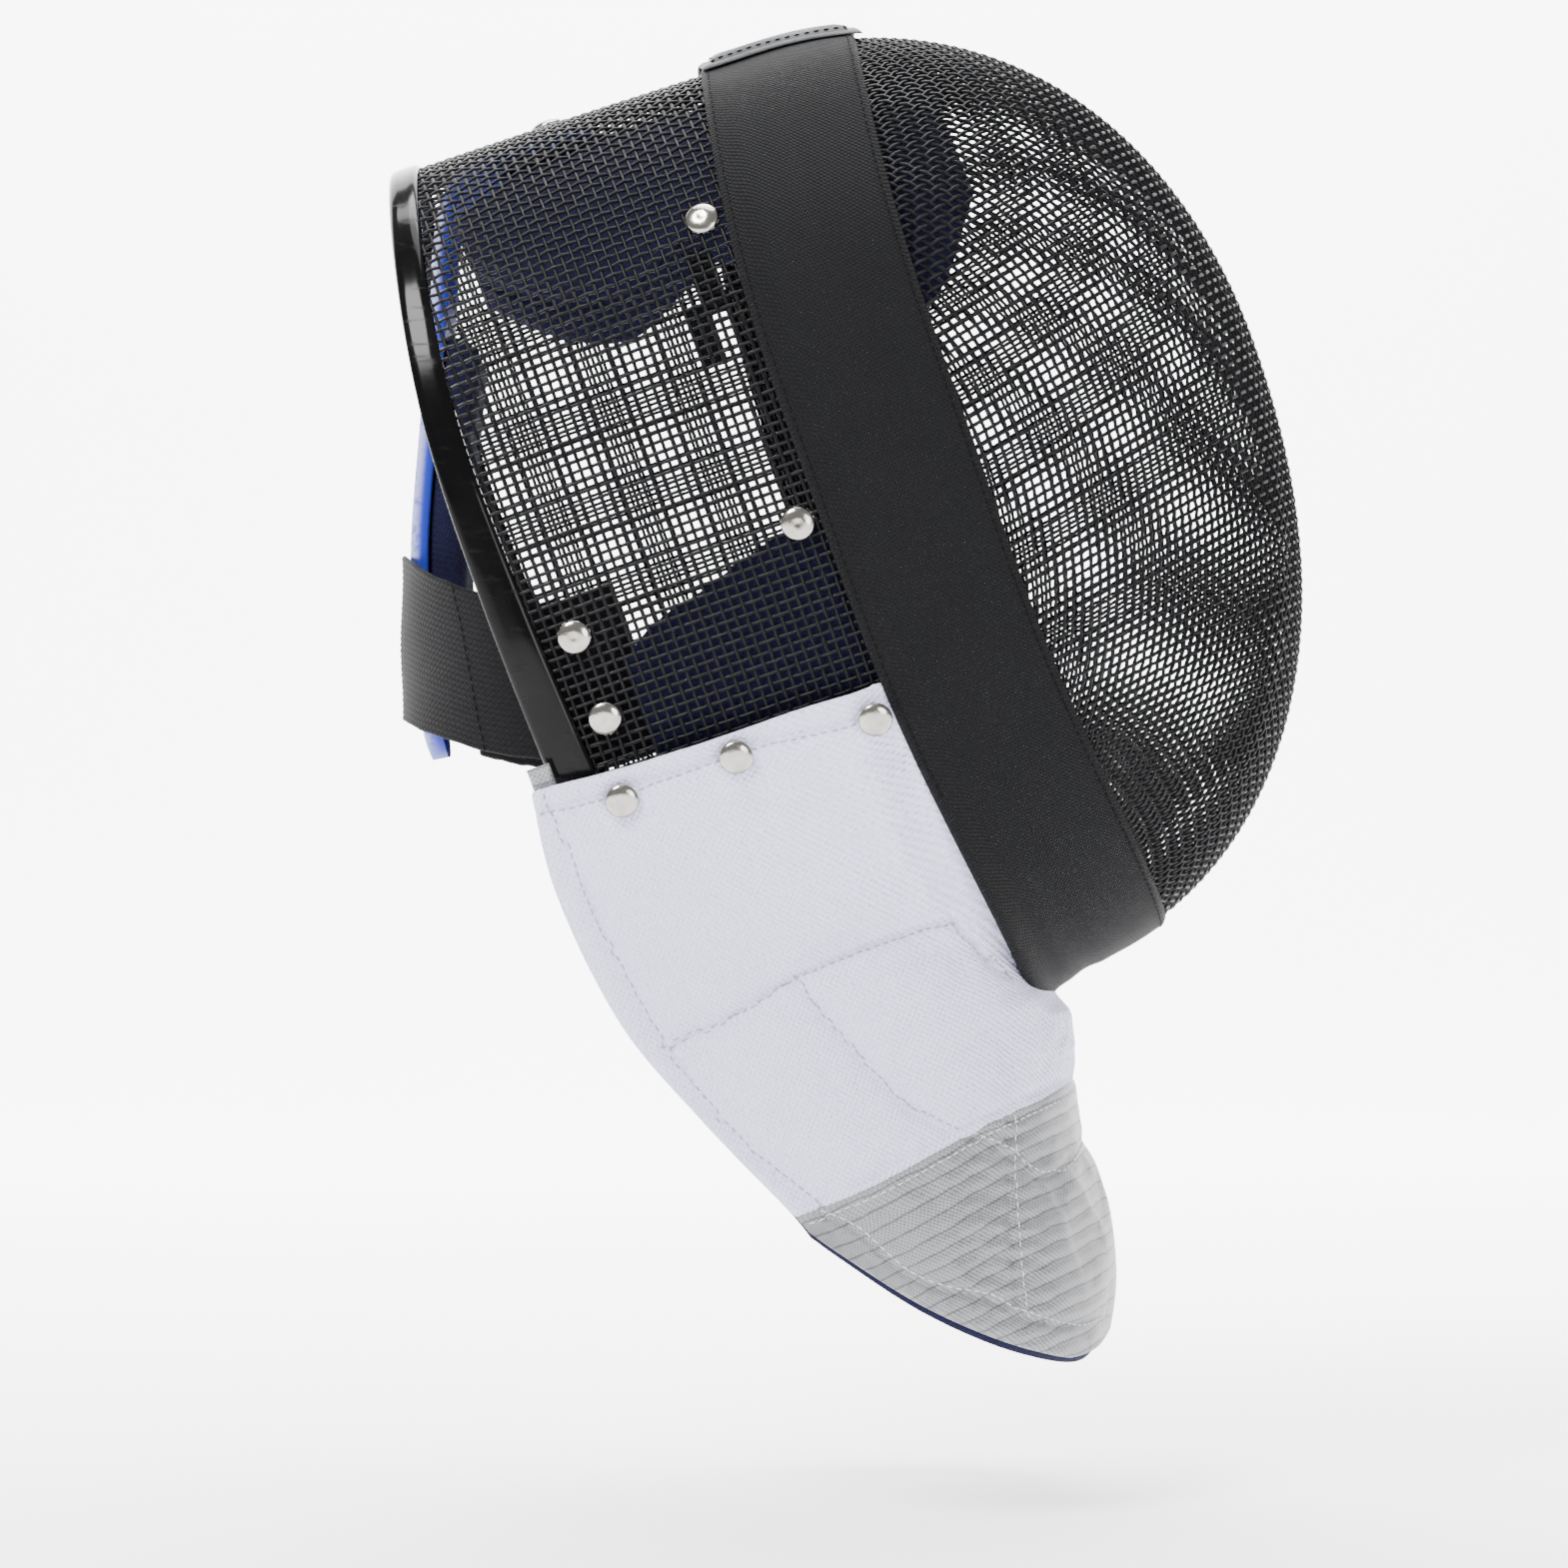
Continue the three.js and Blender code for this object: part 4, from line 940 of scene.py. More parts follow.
def build_band(sizes, finishes):
    """The webbing band: thick edges, a faint crease and a loose rear edge under the chin."""
    rows, around = BAND_GRID
    row, angle = np.meshgrid(np.linspace(0, 1, rows), np.linspace(0, 2 * np.pi, around, endpoint=False),
                             indexing="ij")
    # Below the cheek the rear edge rides up on the bib's tucked edge.
    tucked = ease((-np.cos(angle) - 0.25) / 0.3) * ease((0.28 - row) / 0.28) * BAND_RIDE
    selvage = BAND_SELVAGE * np.exp(-(np.minimum(row, 1 - row) / 0.035) ** 2)
    crease = BAND_CREASE * np.exp(-((row - 0.52) / 0.05) ** 2) * ease(-np.cos(angle) / 0.4)
    wavy = lumps(band_point(row, angle, row * 0), 22) * BAND_WAVE
    # Below the chin the loose edge hangs over the top of the bib.
    loose = ease((-np.cos(angle) - 0.78) / 0.22) * ease((0.45 - row) / 0.45)
    inner = BAND_GAP - 0.3 + tucked + loose * (BAND_HANG + BAND_RIPPLE * np.sin(row * 24))
    rounded = edge_share(rows, around, 0.03, 1, wrap=True)
    outer = inner + 0.5 + (BAND_THICKNESS - 0.35) * rounded + selvage * rounded + crease + wavy * rounded
    outside, inside = band_point(row, angle, outer), band_point(row, angle, inner)
    closed = np.concatenate([outside, outside[:, :1]], 1)
    uv = grid_uv(closed)[:, :-1]
    band = slab("webbing_band", outside, inside, finishes["webbing"], uv, wrap=True)
    dress(band, "webbing", "joint_band")


# The patch's seam runs this far in from its edges, as a share of half its size.
PATCH_GRID, PATCH_SEAM_INSET, PATCH_SEAM_DEPTH = (60, 60), 0.13, 0.9
PATCH_EDGE, PATCH_PADDING = 0.5, 1.6


def build_patch(sizes, finishes):
    """The padded patch on the crown, sewn down round its edge."""
    rows, columns = PATCH_GRID
    row, share = grid_shares(rows, columns, -1)
    angle = PATCH_HALF_ANGLE * share
    fwd = PATCH_REAR + (PATCH_FRONT - PATCH_REAR) * row
    under = BAND_GAP + BAND_THICKNESS + 0.3
    rounded = edge_share(rows, columns, 0.05, 0.05)
    inset = np.minimum(np.minimum(row, 1 - row) * 2, 1 - np.abs(share))
    sewn = PATCH_SEAM_DEPTH * np.exp(-((inset - PATCH_SEAM_INSET) / 0.035) ** 2)
    uneven = 0.15 * lumps(np.stack([angle * 120, fwd, fwd * 0], -1), 9)
    swell = PATCH_EDGE * rounded + PATCH_PADDING * rounded * ease(inset / 0.3) - sewn * 0.7 + uneven
    outside = on_shell(turn_at(fwd), angle, under + 0.3 + swell)
    inside = on_shell(turn_at(fwd), angle, under + rounded * 0)
    patch = slab("padded_patch", outside, inside, finishes["patch"])
    dress(patch, "patch_vinyl", "crown_patch")


# The strip's section, and the bead that the dip leaves along its edge.
RIM_GRID, RIM_SQUARENESS = (300, 20), 5
RIM_BEAD, RIM_BEAD_PLACE, RIM_BEAD_WIDTH = 0.25, 1.0, 0.8


def build_rim(sizes, finishes):
    """The edge strip: a flattened round section dipped in PVC, a little uneven along its length."""
    stations, sides = RIM_GRID
    angle = np.linspace(0, 2 * np.pi, stations, endpoint=False)
    turn = turn_at(opening_edge(angle))
    origin = shell_point(turn, angle)
    normal = shell_normal(turn, angle)
    tangent = unit(np.roll(origin, -1, 0) - np.roll(origin, 1, 0))
    inward = unit(np.cross(tangent, normal))
    inward *= np.sign(inward[:, 1:2])
    width = rim_width(angle)[:, None]
    around = np.linspace(0, 2 * np.pi, sides, endpoint=False)
    square = rounded_square(around, RIM_SQUARENESS)
    uneven = 1 + 0.02 * np.sin(angle * 9)[:, None] + 0.015 * np.sin(angle * 23 + 1)[:, None]
    over = width / 2 * (1 + np.cos(around) * square)
    middle, half = (RIM_OUTSIDE + RIM_INSIDE) / 2, (RIM_OUTSIDE - RIM_INSIDE) / 2
    bead = RIM_BEAD * np.exp(-((over - RIM_BEAD_PLACE) / RIM_BEAD_WIDTH) ** 2)
    out = middle + half * np.sin(around) * square * uneven + bead * np.sin(around)
    ring = origin[:, None] + inward[:, None] * over[..., None] + normal[:, None] * out[..., None]
    dress(loft("edge_strip", ring, finishes["rim"], closed=True), "rim_pvc", "rim_trim")


TONGUE_LINE = [(-6, 7.2), (-22, 7.7), (-40, 7.7), (-52, 3.5), (-60, -8), (-68, -27), (-84, -62),
               (-98.5, -95), (-107, -121), (-114, -150), (-115, -158)]
TONGUE_WIDTH, TONGUE_THICKNESS, TONGUE_DISH = 56, 4, 3.8
TONGUE_STATIONS, TONGUE_SIDES, TONGUE_SQUARENESS = 150, 36, 4
TONGUE_PAD_WIDTH, TONGUE_PAD_THICKNESS, TONGUE_PAD_GAP = 52, 13, 0.4
# The pad's ends along the tongue and its quilting seams, as shares of the length.
TONGUE_PAD_GRID, TONGUE_PAD_START, TONGUE_PAD_END = (70, 41), 0.42, 0.8
TONGUE_PAD_SEAMS, TONGUE_PAD_SEAM_DEPTH = (0.35, 0.68), 1.6


def build_tongue(sizes, finishes):
    """The dipped spring tongue with rounded edges, and its quilted pad."""
    line = side_curve(TONGUE_LINE, TONGUE_STATIONS)
    slope = unit(np.gradient(line, axis=0))
    inside = np.stack([-slope[:, 1], slope[:, 0]], 1)
    share = np.linspace(0, 1, TONGUE_STATIONS)
    tip = np.sqrt(np.clip(1 - np.clip((share - 0.9) / 0.1, 0, 1) ** 2 * 0.92, 0, 1))
    root = np.sqrt(np.clip(1 - np.clip((0.06 - share) / 0.06, 0, 1) ** 2 * 0.6, 0, 1))
    size = np.minimum(tip, root)[:, None]
    around = np.linspace(0, 2 * np.pi, TONGUE_SIDES, endpoint=False)
    square = rounded_square(around, TONGUE_SQUARENESS)
    across = np.cos(around) * square
    half = TONGUE_THICKNESS / 2 * np.minimum(1, size + 0.2)
    depth = half * np.sin(around) * square + TONGUE_DISH * across ** 2
    # The dip is a little thicker along both edges.
    depth = depth + 0.25 * (np.exp(-((np.abs(across) - 0.93) / 0.06) ** 2)) * np.sin(around)
    x = across * TONGUE_WIDTH / 2 * size
    ring = np.stack([x, line[:, :1] + inside[:, :1] * depth, line[:, 1:] + inside[:, 1:] * depth], -1)
    dress(loft("spring_tongue", ring, finishes["tongue"]), "tongue_pvc", "back_tongue")

    rows, columns = TONGUE_PAD_GRID
    row, cross = grid_shares(rows, columns, -1)
    place = along(np.concatenate([line, inside], 1),
                  TONGUE_PAD_START + (TONGUE_PAD_END - TONGUE_PAD_START) * row)
    dish = TONGUE_DISH * cross ** 2 * (TONGUE_PAD_WIDTH / TONGUE_WIDTH) ** 2
    near = TONGUE_THICKNESS / 2 + TONGUE_PAD_GAP + dish
    rounded = edge_share(rows, columns, 0.12, 0.2)
    quilt = TONGUE_PAD_SEAM_DEPTH * sum(np.exp(-((row - seam) / 0.02) ** 2) for seam in TONGUE_PAD_SEAMS)
    uneven = 0.4 * lumps(np.stack([cross * 26, row * 60, row * 0], -1), 12) * rounded
    far = near + 1 + (TONGUE_PAD_THICKNESS - 1.5 - quilt) * rounded + uneven
    outer, inner = (np.stack([cross * TONGUE_PAD_WIDTH / 2, place[..., 0] + place[..., 2] * depth,
                              place[..., 1] + place[..., 3] * depth], -1) for depth in (far, near))
    pad = slab("tongue_padding", outer, inner, finishes["lining"])
    dress(pad, "navy_cloth", "tongue_pad")


STRAP_WIDTH, STRAP_THICKNESS, STRAP_HALF_SPAN, STRAP_ROOT_FWD = 50, 1.8, 79.5, -60
STRAP_REACH, STRAP_REAR_UP, STRAP_DROP = 51.6, -120, 30
# The strap's visible part and its second layer, from the middle at 0 to the side at 1.
STRAP_SPAN, STRAP_END_START, STRAP_END_INSET, STRAP_END_LOWER = 0.9, 0.5, 2.2, 3
STRAP_END_THICKNESS, STRAP_END_LEAD = 1.6, (2.6, 14)


def strap_station(side, inset=0.0, lower=0.0):
    """Centre line and width direction of the strap, from side -1 at the right to 1."""
    angle = side * np.pi / 2
    centre = np.stack([(STRAP_HALF_SPAN - inset) * np.sin(angle),
                       STRAP_ROOT_FWD - (STRAP_REACH - inset) * np.cos(angle),
                       STRAP_REAR_UP - STRAP_DROP * np.sin(angle) ** 2 - lower], -1)
    lean = PITCH * np.cos(angle) ** 2
    return centre, np.stack([lean * 0, np.sin(lean), np.cos(lean)], -1)


def ribbed_strip(name, centre, across, width, thickness, ribs, material, wave=0.0):
    """A flat strip with soft ribs along it, as elastic has, and slightly wavy edges."""
    tangent = unit(np.gradient(centre, axis=0))
    normal = unit(np.cross(tangent, across))
    share = np.linspace(-1, 1, ribs * 4 + 1)
    rib = 0.22 * np.abs(np.sin((share + 1) / 2 * np.pi * ribs)) ** 0.6
    rounded = np.sqrt(np.clip(1 - (np.abs(share) - 0.97).clip(0) ** 2 / 0.03 ** 2, 0, 1))
    half = (thickness / 2 - 0.2) * (0.45 + 0.55 * rounded) + rib
    places = np.concatenate([share, share[::-1]])
    heights = np.concatenate([half, -half[::-1]])
    step = np.linspace(0, 1, len(centre))[:, None]
    edge = 1 + 0.006 * np.sin(step * 40) + 0.004 * np.sin(step * 91 + 1)
    sag = wave * np.sin(places[None] * 4 + step * 17) * np.sin(step * np.pi)
    ring = (centre[:, None] + across[:, None] * (places * width / 2 * edge)[..., None]
            + normal[:, None] * (heights + sag)[..., None])
    return loft(name, ring, material)


def build_strap(sizes, finishes):
    """The elastic strap behind the tongue, and its two ends inside the mesh."""
    centre, across = strap_station(np.linspace(-STRAP_SPAN, STRAP_SPAN, 130))
    strap = ribbed_strip("elastic_strap", centre, across, STRAP_WIDTH, STRAP_THICKNESS,
                         sizes.strap_ribs, finishes["elastic"], wave=0.35)
    dress(strap, "elastic", "back_strap")
    for name, sign in (("right", -1), ("left", 1)):
        share = np.linspace(STRAP_END_START, 1, 40)
        centre, across = strap_station(sign * share, STRAP_END_INSET, STRAP_END_LOWER)
        forward = np.linspace(0, 1, 14)[1:, None]
        aside, ahead = STRAP_END_LEAD
        centre = np.concatenate([centre, centre[-1] + forward * np.array([sign * aside, ahead, 0])])
        across = np.concatenate([across, np.repeat(across[-1:], len(forward), 0)])
        tab = ribbed_strip(f"strap_end_{name}", centre, across, STRAP_WIDTH, STRAP_END_THICKNESS,
                           sizes.strap_ribs, finishes["elastic"])
        dress(tab, "elastic", f"strap_tab_{name}")


# The pads' lower and upper edges as (fwd, up), and their depths below the mesh's outer face.
HEAD_PAD_EDGE = [(-55, -20), (-40, -35), (-14, -46), (6, -37), (20, -31), (36, -48), (54, -80), (72, -80),
                 (96, -52)]
HEAD_PAD_GRID, HEAD_PAD_OUTER, HEAD_PAD_INNER, HEAD_PAD_DEEPER = (90, 120), -10.7, -13.2, 5.8
NOTCH_DEPTH, NOTCH_HALF_ANGLE = 19, math.radians(24)
JAW_GRID, JAW_REAR, JAW_LENGTH, JAW_OUTER, JAW_INNER = (50, 70), -51, 111, -3.8, -4.6
PAD_TAB_GRID, PAD_TAB_REAR, PAD_TAB_WIDTH = (12, 24), 5, 8
PAD_TAB_TOP, PAD_TAB_LENGTH, PAD_TAB_OUTER, PAD_TAB_INNER = -45, 19, -2.8, -4.4
JAW_EDGE = [(-51, -152), (-42, -146), (-22, -140), (10, -132), (36, -136), (60, -142)]


def build_linings(sizes, finishes):
    """The quilted head pad, the jaw linings and the tabs that hold the pad."""
    rows, columns = HEAD_PAD_GRID
    row, share = grid_shares(rows, columns, -1)
    level = HEAD_PAD_EDGE[0][0] + (HEAD_PAD_EDGE[-1][0] - HEAD_PAD_EDGE[0][0]) * row
    reach = angle_at_up(turn_at(level[:, 0]), look_up(HEAD_PAD_EDGE, level[:, 0]))
    angle = reach[:, None] * share
    notch = NOTCH_DEPTH * np.sin(np.pi / 2 * np.clip(2 * (1 - np.abs(angle) / NOTCH_HALF_ANGLE), 0, 1))
    fwd = level + notch * (1 - row)
    deep = HEAD_PAD_INNER - HEAD_PAD_DEEPER * np.clip((fwd - JOIN_FWD / 2) / JOIN_FWD, 0, 1)
    rounded = edge_share(rows, columns, 0.05, 0.05)
    quilt = np.exp(-(np.abs(np.mod(share * 3, 1) - 0.5) / 0.06) ** 2)
    outer = HEAD_PAD_OUTER + 1.0 * rounded - 0.4 * quilt * rounded
    inner = deep + 1.6 - 1.6 * rounded + 1.2 * quilt * rounded
    pad = slab("quilted_head_pad", on_shell(turn_at(fwd), angle, outer), on_shell(turn_at(fwd), angle, inner),
               finishes["lining"])
    dress(pad, "navy_cloth", "head_pad")
    for name, sign in (("right", -1), ("left", 1)):
        rows, columns = JAW_GRID
        row, share = grid_shares(rows, columns)
        fwd = JAW_REAR + JAW_LENGTH * row
        # The rear end is thin where it goes under the strap's end.
        thin = ease((-38 - fwd) / 6)
        turn = turn_at(fwd)
        top = angle_at_up(turn[:, 0], look_up(JAW_EDGE, fwd[:, 0]))[:, None]
        low = lowest_angle(fwd[:, 0])[:, None]
        angle = sign * (top + (low - top) * share)
        rounded = edge_share(rows, columns, 0.05, 0.05)
        outer = JAW_OUTER + 0.5 * rounded + 0 * fwd
        inner = JAW_INNER - 2.3 * rounded + 0.5 * lumps(on_shell(turn, angle, 0 * fwd), 14) * rounded
        outer, inner = outer * (1 - thin) - 2.8 * thin, inner * (1 - thin) - 4.2 * thin
        lining = slab(f"jaw_padding_{name}", on_shell(turn, angle, outer), on_shell(turn, angle, inner),
                      finishes["lining"])
        dress(lining, "navy_cloth", f"jaw_lining_{name}")
        row, share = grid_shares(*PAD_TAB_GRID)
        fwd = PAD_TAB_REAR + PAD_TAB_WIDTH * row
        turn = turn_at(fwd)
        angle = sign * angle_at_up(turn, PAD_TAB_TOP - PAD_TAB_LENGTH * share)
        outer, inner = np.full(fwd.shape, PAD_TAB_OUTER), np.full(fwd.shape, PAD_TAB_INNER)
        tab = slab(f"pad_holder_{name}", on_shell(turn, angle, outer), on_shell(turn, angle, inner),
                   finishes["webbing"])
        dress(tab, "webbing", f"pad_tab_{name}")


def lowest_angle(fwd):
    """Lowest direction at which the mesh is still there at each distance forward."""
    angles = np.radians(np.arange(100, 172.5, 0.5))
    start = opening_edge(angles) + rim_width(angles) + 3
    return np.array([angles[np.argmax(start >= place)] if (start >= place).any() else angles[-1] for place in fwd])


def build_wires(sizes, finishes):
    """Both meshes as crimped, woven wires, each in a right and a left piece."""
    pitch = sizes.wire_pitch * 1000
    face = face_net(pitch, sizes.wire_fall)
    known = np.isfinite(face).all(-1)
    out = np.zeros(face.shape)
    out[known] = unit(dome_slope(face[known]))
    back = back_net(pitch)
    back_out = sheet_normals(np.nan_to_num(back), np.array([0, 0, 0]))
    there = np.isfinite(back).all(-1)
    side, fwd, up = back[there].T
    back_out[there] = shell_normal(turn_at(fwd), np.arctan2(side, up - WIDEST_UP))
    for side, mirrored in (("left", False), ("right", True)):
        for part, net, normals, node in (("face", face, out, "face_mesh"), ("side", back, back_out, "back_mesh")):
            piece = wire_cloth(f"{part}_wires_{side}", net, normals, sizes, finishes["wire"], mirrored)
            dress(piece, "wire_mesh", *([node] if mirrored else []))


# The bib. Seams of the side view, as (fwd, up).
TOP_SEAM = [(-87, -184), (-71.5, -185.6), (-41.4, -186.2), (-24.5, -186.1), (-6.1, -188.3), (12, -190)]
REAR_SEAM = [(-85.3, -180), (-83.9, -199.6), (-82.2, -222.1), (-79.9, -242.4), (-76.4, -260.1), (-71.7, -277.2),
             (-65.8, -292.8), (-59.2, -305.3), (-50, -320)]
CROSS_SEAM = [(-76.8, -261.2), (-55.2, -258.7), (-34.8, -254.3), (-7.6, -252.8), (15.5, -253.8)]
CHIN_SEAM = [(15.5, -253.8), (18.4, -261.3), (25.1, -276.4)]
SLANT_SEAM = [(-34.8, -254.3), (-30.9, -266.3), (-25.8, -279.9), (-16.7, -300.7), (-6.6, -313)]
SHORT_SEAM = [(16.6, -297.9), (10.6, -316.3)]
DART_SEAM = [(10.6, -316.3), (4.5, -334.2), (-1.5, -354.4), (-5.6, -371)]
CURVED_SEAM = [(-2, -316), (5.6, -323.4), (10.6, -332.5), (14.2, -336.4), (20.4, -337.2), (27, -334)]
LOWER_SEAM = [(-50, -322), (-42.9, -329), (-33.2, -346.2), (-24.9, -354.3), (-13.6, -361.7), (-4.2, -371.4),
              (5.9, -379.5), (15, -382)]
BORDER_SEAM = [(-54, -318.5), (-34, -317.6), (4, -312.6), (30, -311.6)]
COVER_SEAMS = [TOP_SEAM, REAR_SEAM, CROSS_SEAM, CHIN_SEAM, SLANT_SEAM]
LAME_SEAMS = [DART_SEAM, CURVED_SEAM, LOWER_SEAM]
SIDE_RIVETS = [(14, -38, False), (10, -131, False), (-61.5, -140, False), (-61, -165, False),
               (-64, -188, True), (-29, -187, True), (12.5, -190, True)]
CROWN_RIVET_FWD, RIVET_GAP = -18, 0.35

# Rows and columns of the bib's layers, and their heights over the bib's inner surface.
COVER_GRID, LAME_GRID, LINING_GRID, KNIT_GRID = (62, 151), (44, 141), (60, 131), (12, 16)
COVER_LIFT, COVER_PUFF, COVER_TUCKED, LAME_LIFT = 3.8, 1.5, 0.75, 4.0
KNIT_UPS, KNIT_FWDS = (-178, -171.5), (-87.5, -80.5)
LINING_DROP = 1.5

# In metres: how far behind the bib's middle the neck lies, and a thread's middle over the cloth.
NECK_BEHIND_BIB, THREAD_LIFT = 0.03, 0.00008


def from_row(points):
    """Points of the row's frame in metres, back in the mask's own frame in millimetres."""
    x, y, z = np.moveaxis(np.asarray(points, float) * 1000, -1, 0)
    fwd, up = z * math.sin(PITCH) - y * math.cos(PITCH), z * math.cos(PITCH) + y * math.sin(PITCH)
    return np.stack([x, fwd, up], -1)


def line_distance(flat, lines):
    """Distance of (fwd, up) places from the nearest of several lines."""
    nearest = np.full(flat.shape[:-1], 1e3)
    for line in lines:
        curve = side_curve(line, 30) if len(line) > 2 else np.asarray(line, float)
        for a, b in zip(curve, curve[1:]):
            run = b - a
            share = np.clip(((flat - a) * run).sum(-1) / max((run ** 2).sum(), 1e-9), 0, 1)
            nearest = np.minimum(nearest, np.linalg.norm(flat - a - share[..., None] * run, axis=-1))
    return nearest


def bib_grid(edges, rows, columns):
    """Places and outward directions of a grid over a bib layer, from right to left."""
    down, across = grid_shares(rows, columns, -1)
    flat = bib_place(edges, down, across ** 2)
    sign = np.where(across < 0, -1, 1)
    base = bib_point(flat[..., 0], flat[..., 1], sign)
    base[np.abs(across) < 1e-9, 0] = 0
    normals = sheet_normals(base, np.array([0, BIB_ARM_FWD, 0]) + base * [0, 0, 1])
    normals[:, columns // 2, 0] = 0
    aside = ease((np.abs(across) - 0.3) / 0.2)[..., None]
    smooth = bib_normal(flat[..., 0], flat[..., 1], sign)
    return base, unit(normals * (1 - aside) + np.nan_to_num(smooth) * aside), flat


def wrapped_uv(base, flat):
    """A cloth map whose threads run level and upright round the bib."""
    return np.stack([np.arctan2(base[..., 0], base[..., 1] - BIB_ARM_FWD) * 0.088, flat[..., 1] / 1000], -1)


def swell_cloth(name, grid, sewn, frames, pressure, most):
    """Blows a sewn sheet up between its seams with a short cloth simulation.

    No point moves by more than "most", in millimetres.
    """
    rows, columns = grid.shape[:2]
    mesh = bpy.data.meshes.new(name)
    start = to_row(grid.reshape(-1, 3))
    mesh.from_pydata(start.tolist(), [], grid_quads(rows, columns))
    sheet = place_object(name, mesh)
    # Pressure pushes along the faces' normals, which have to point away from the neck.
    neck = start.mean(0) + [0, NECK_BEHIND_BIB, 0]
    outwards = values_of(mesh.polygons, "normal") * (values_of(mesh.polygons, "center") - neck)
    if outwards.sum() < 0:
        mesh.flip_normals()
    pins = sheet.vertex_groups.new(name="sewn")
    pins.add([int(i) for i in np.flatnonzero(sewn.ravel())], 1.0, "REPLACE")
    cloth = sheet.modifiers.new("cloth", "CLOTH")
    settings = cloth.settings
    settings.quality = 6
    settings.mass = 0.25
    settings.tension_stiffness = settings.compression_stiffness = 12
    settings.bending_stiffness = 0.4
    settings.vertex_group_mass = pins.name
    settings.use_pressure = True
    settings.uniform_pressure_force = pressure
    settings.shrink_min = -0.025
    settings.effector_weights.gravity = 0
    cloth.point_cache.frame_end = frames
    scene = bpy.context.scene
    for step in range(1, frames + 1):
        scene.frame_set(step)
    blown = sheet.evaluated_get(bpy.context.evaluated_depsgraph_get())
    swollen = values_of(blown.data.vertices, "co")
    scene.frame_set(1)
    bpy.data.objects.remove(sheet)
    move = from_row(swollen) - from_row(start)
    far = np.linalg.norm(move, axis=-1, keepdims=True)
    move *= most / (most + far)
    return grid + move.reshape(grid.shape)


def finish_cloth(obj):
    """Rounds a slab's hems with a subdivision that is applied at once."""
    rounding = obj.modifiers.new("round", "SUBSURF")
    rounding.levels = rounding.render_levels = 1
    bpy.context.view_layer.update()
    mesh = bpy.data.meshes.new_from_object(obj.evaluated_get(bpy.context.evaluated_depsgraph_get()))
    obj.modifiers.remove(rounding)
    old, obj.data = obj.data, mesh
    bpy.data.meshes.remove(old)
    mesh.name = obj.name
    return obj


def press(obj, depth_at):
    """Sinks the outer face of a mesh by depth_at(points of the mask's frame), in millimetres."""
    mesh = obj.data
    points, normals = values_of(mesh.vertices, "co"), values_of(mesh.vertices, "normal")
    outer = (normals * points * [1, 1, 0]).sum(-1) > 0
    depth = depth_at(from_row(points)) / 1000
    mesh.vertices.foreach_set("co", (points - normals * (depth * outer)[:, None]).ravel())
    mesh.update()


def sew(name, carrier, lines, sizes, material, length=None):
    """Stitches along lines of the mask's frame, laid on the surface of the piece that carries them."""
    points, normals, links = [], [], []
    for line in lines:
        first = len(points)
        for point in line:
            found, spot, normal, _ = bpy.data.objects[carrier].closest_point_on_mesh(Vector(to_row(point)))
            if found:
                points.append(spot + normal * THREAD_LIFT)
                normals.append(normal)
        links += [(k, k + 1) for k in range(first, len(points) - 1)]
    mesh_points = from_row(np.array([list(p) for p in points]))
    mesh_normals = from_row(np.array([list(n) for n in normals])) / 1000
    source = line_mesh(mesh_points, mesh_normals, links)
    values = {"Pitch": sizes.stitch_pitch, "Thread Radius": sizes.thread_radius,
              "Stitch Length": length or sizes.stitch_length}
    return grow(name, source, stitch_tree(), values, material)


def seam_paths(lines, lift):
    """Both sides' paths of the bib's seams, held a little above its surface."""
    paths = []
    for line in lines:
        flat = side_curve(line, 140)
        for sign in (-1.0, 1.0):
            signs = np.full(len(flat), sign)
            paths.append(bib_point(flat[:, 0], flat[:, 1], signs) + bib_normal(flat[:, 0], flat[:, 1], signs) * lift)
    return paths


def rivet_hollows(flat):
    """1 at each of the bib's rivets, fading round it."""
    near = np.zeros(flat.shape[:-1])
    for fwd, up, on_bib in SIDE_RIVETS:
        if on_bib:
            near = np.maximum(near, np.exp(-(((flat - [fwd, up]) ** 2).sum(-1)) / 9.5 ** 2))
    return near


def dent(places, lines, depth, width):
    """Depth of the groove that seams pull into the cloth."""
    return depth * np.exp(-(line_distance(places, lines) / width) ** 2)


def border_sewn(sewn):
    """The sewn places of a grid, with its whole border."""
    sewn[[0, -1]] = True
    sewn[:, [0, -1]] = True
    return sewn


def build_bib(sizes, finishes):
    """The padded white bib, its conductive lower part and its lining."""
    build_cover(finishes)
    build_lower_bib(finishes)
    build_knit_corners(finishes)
    build_backing(finishes)


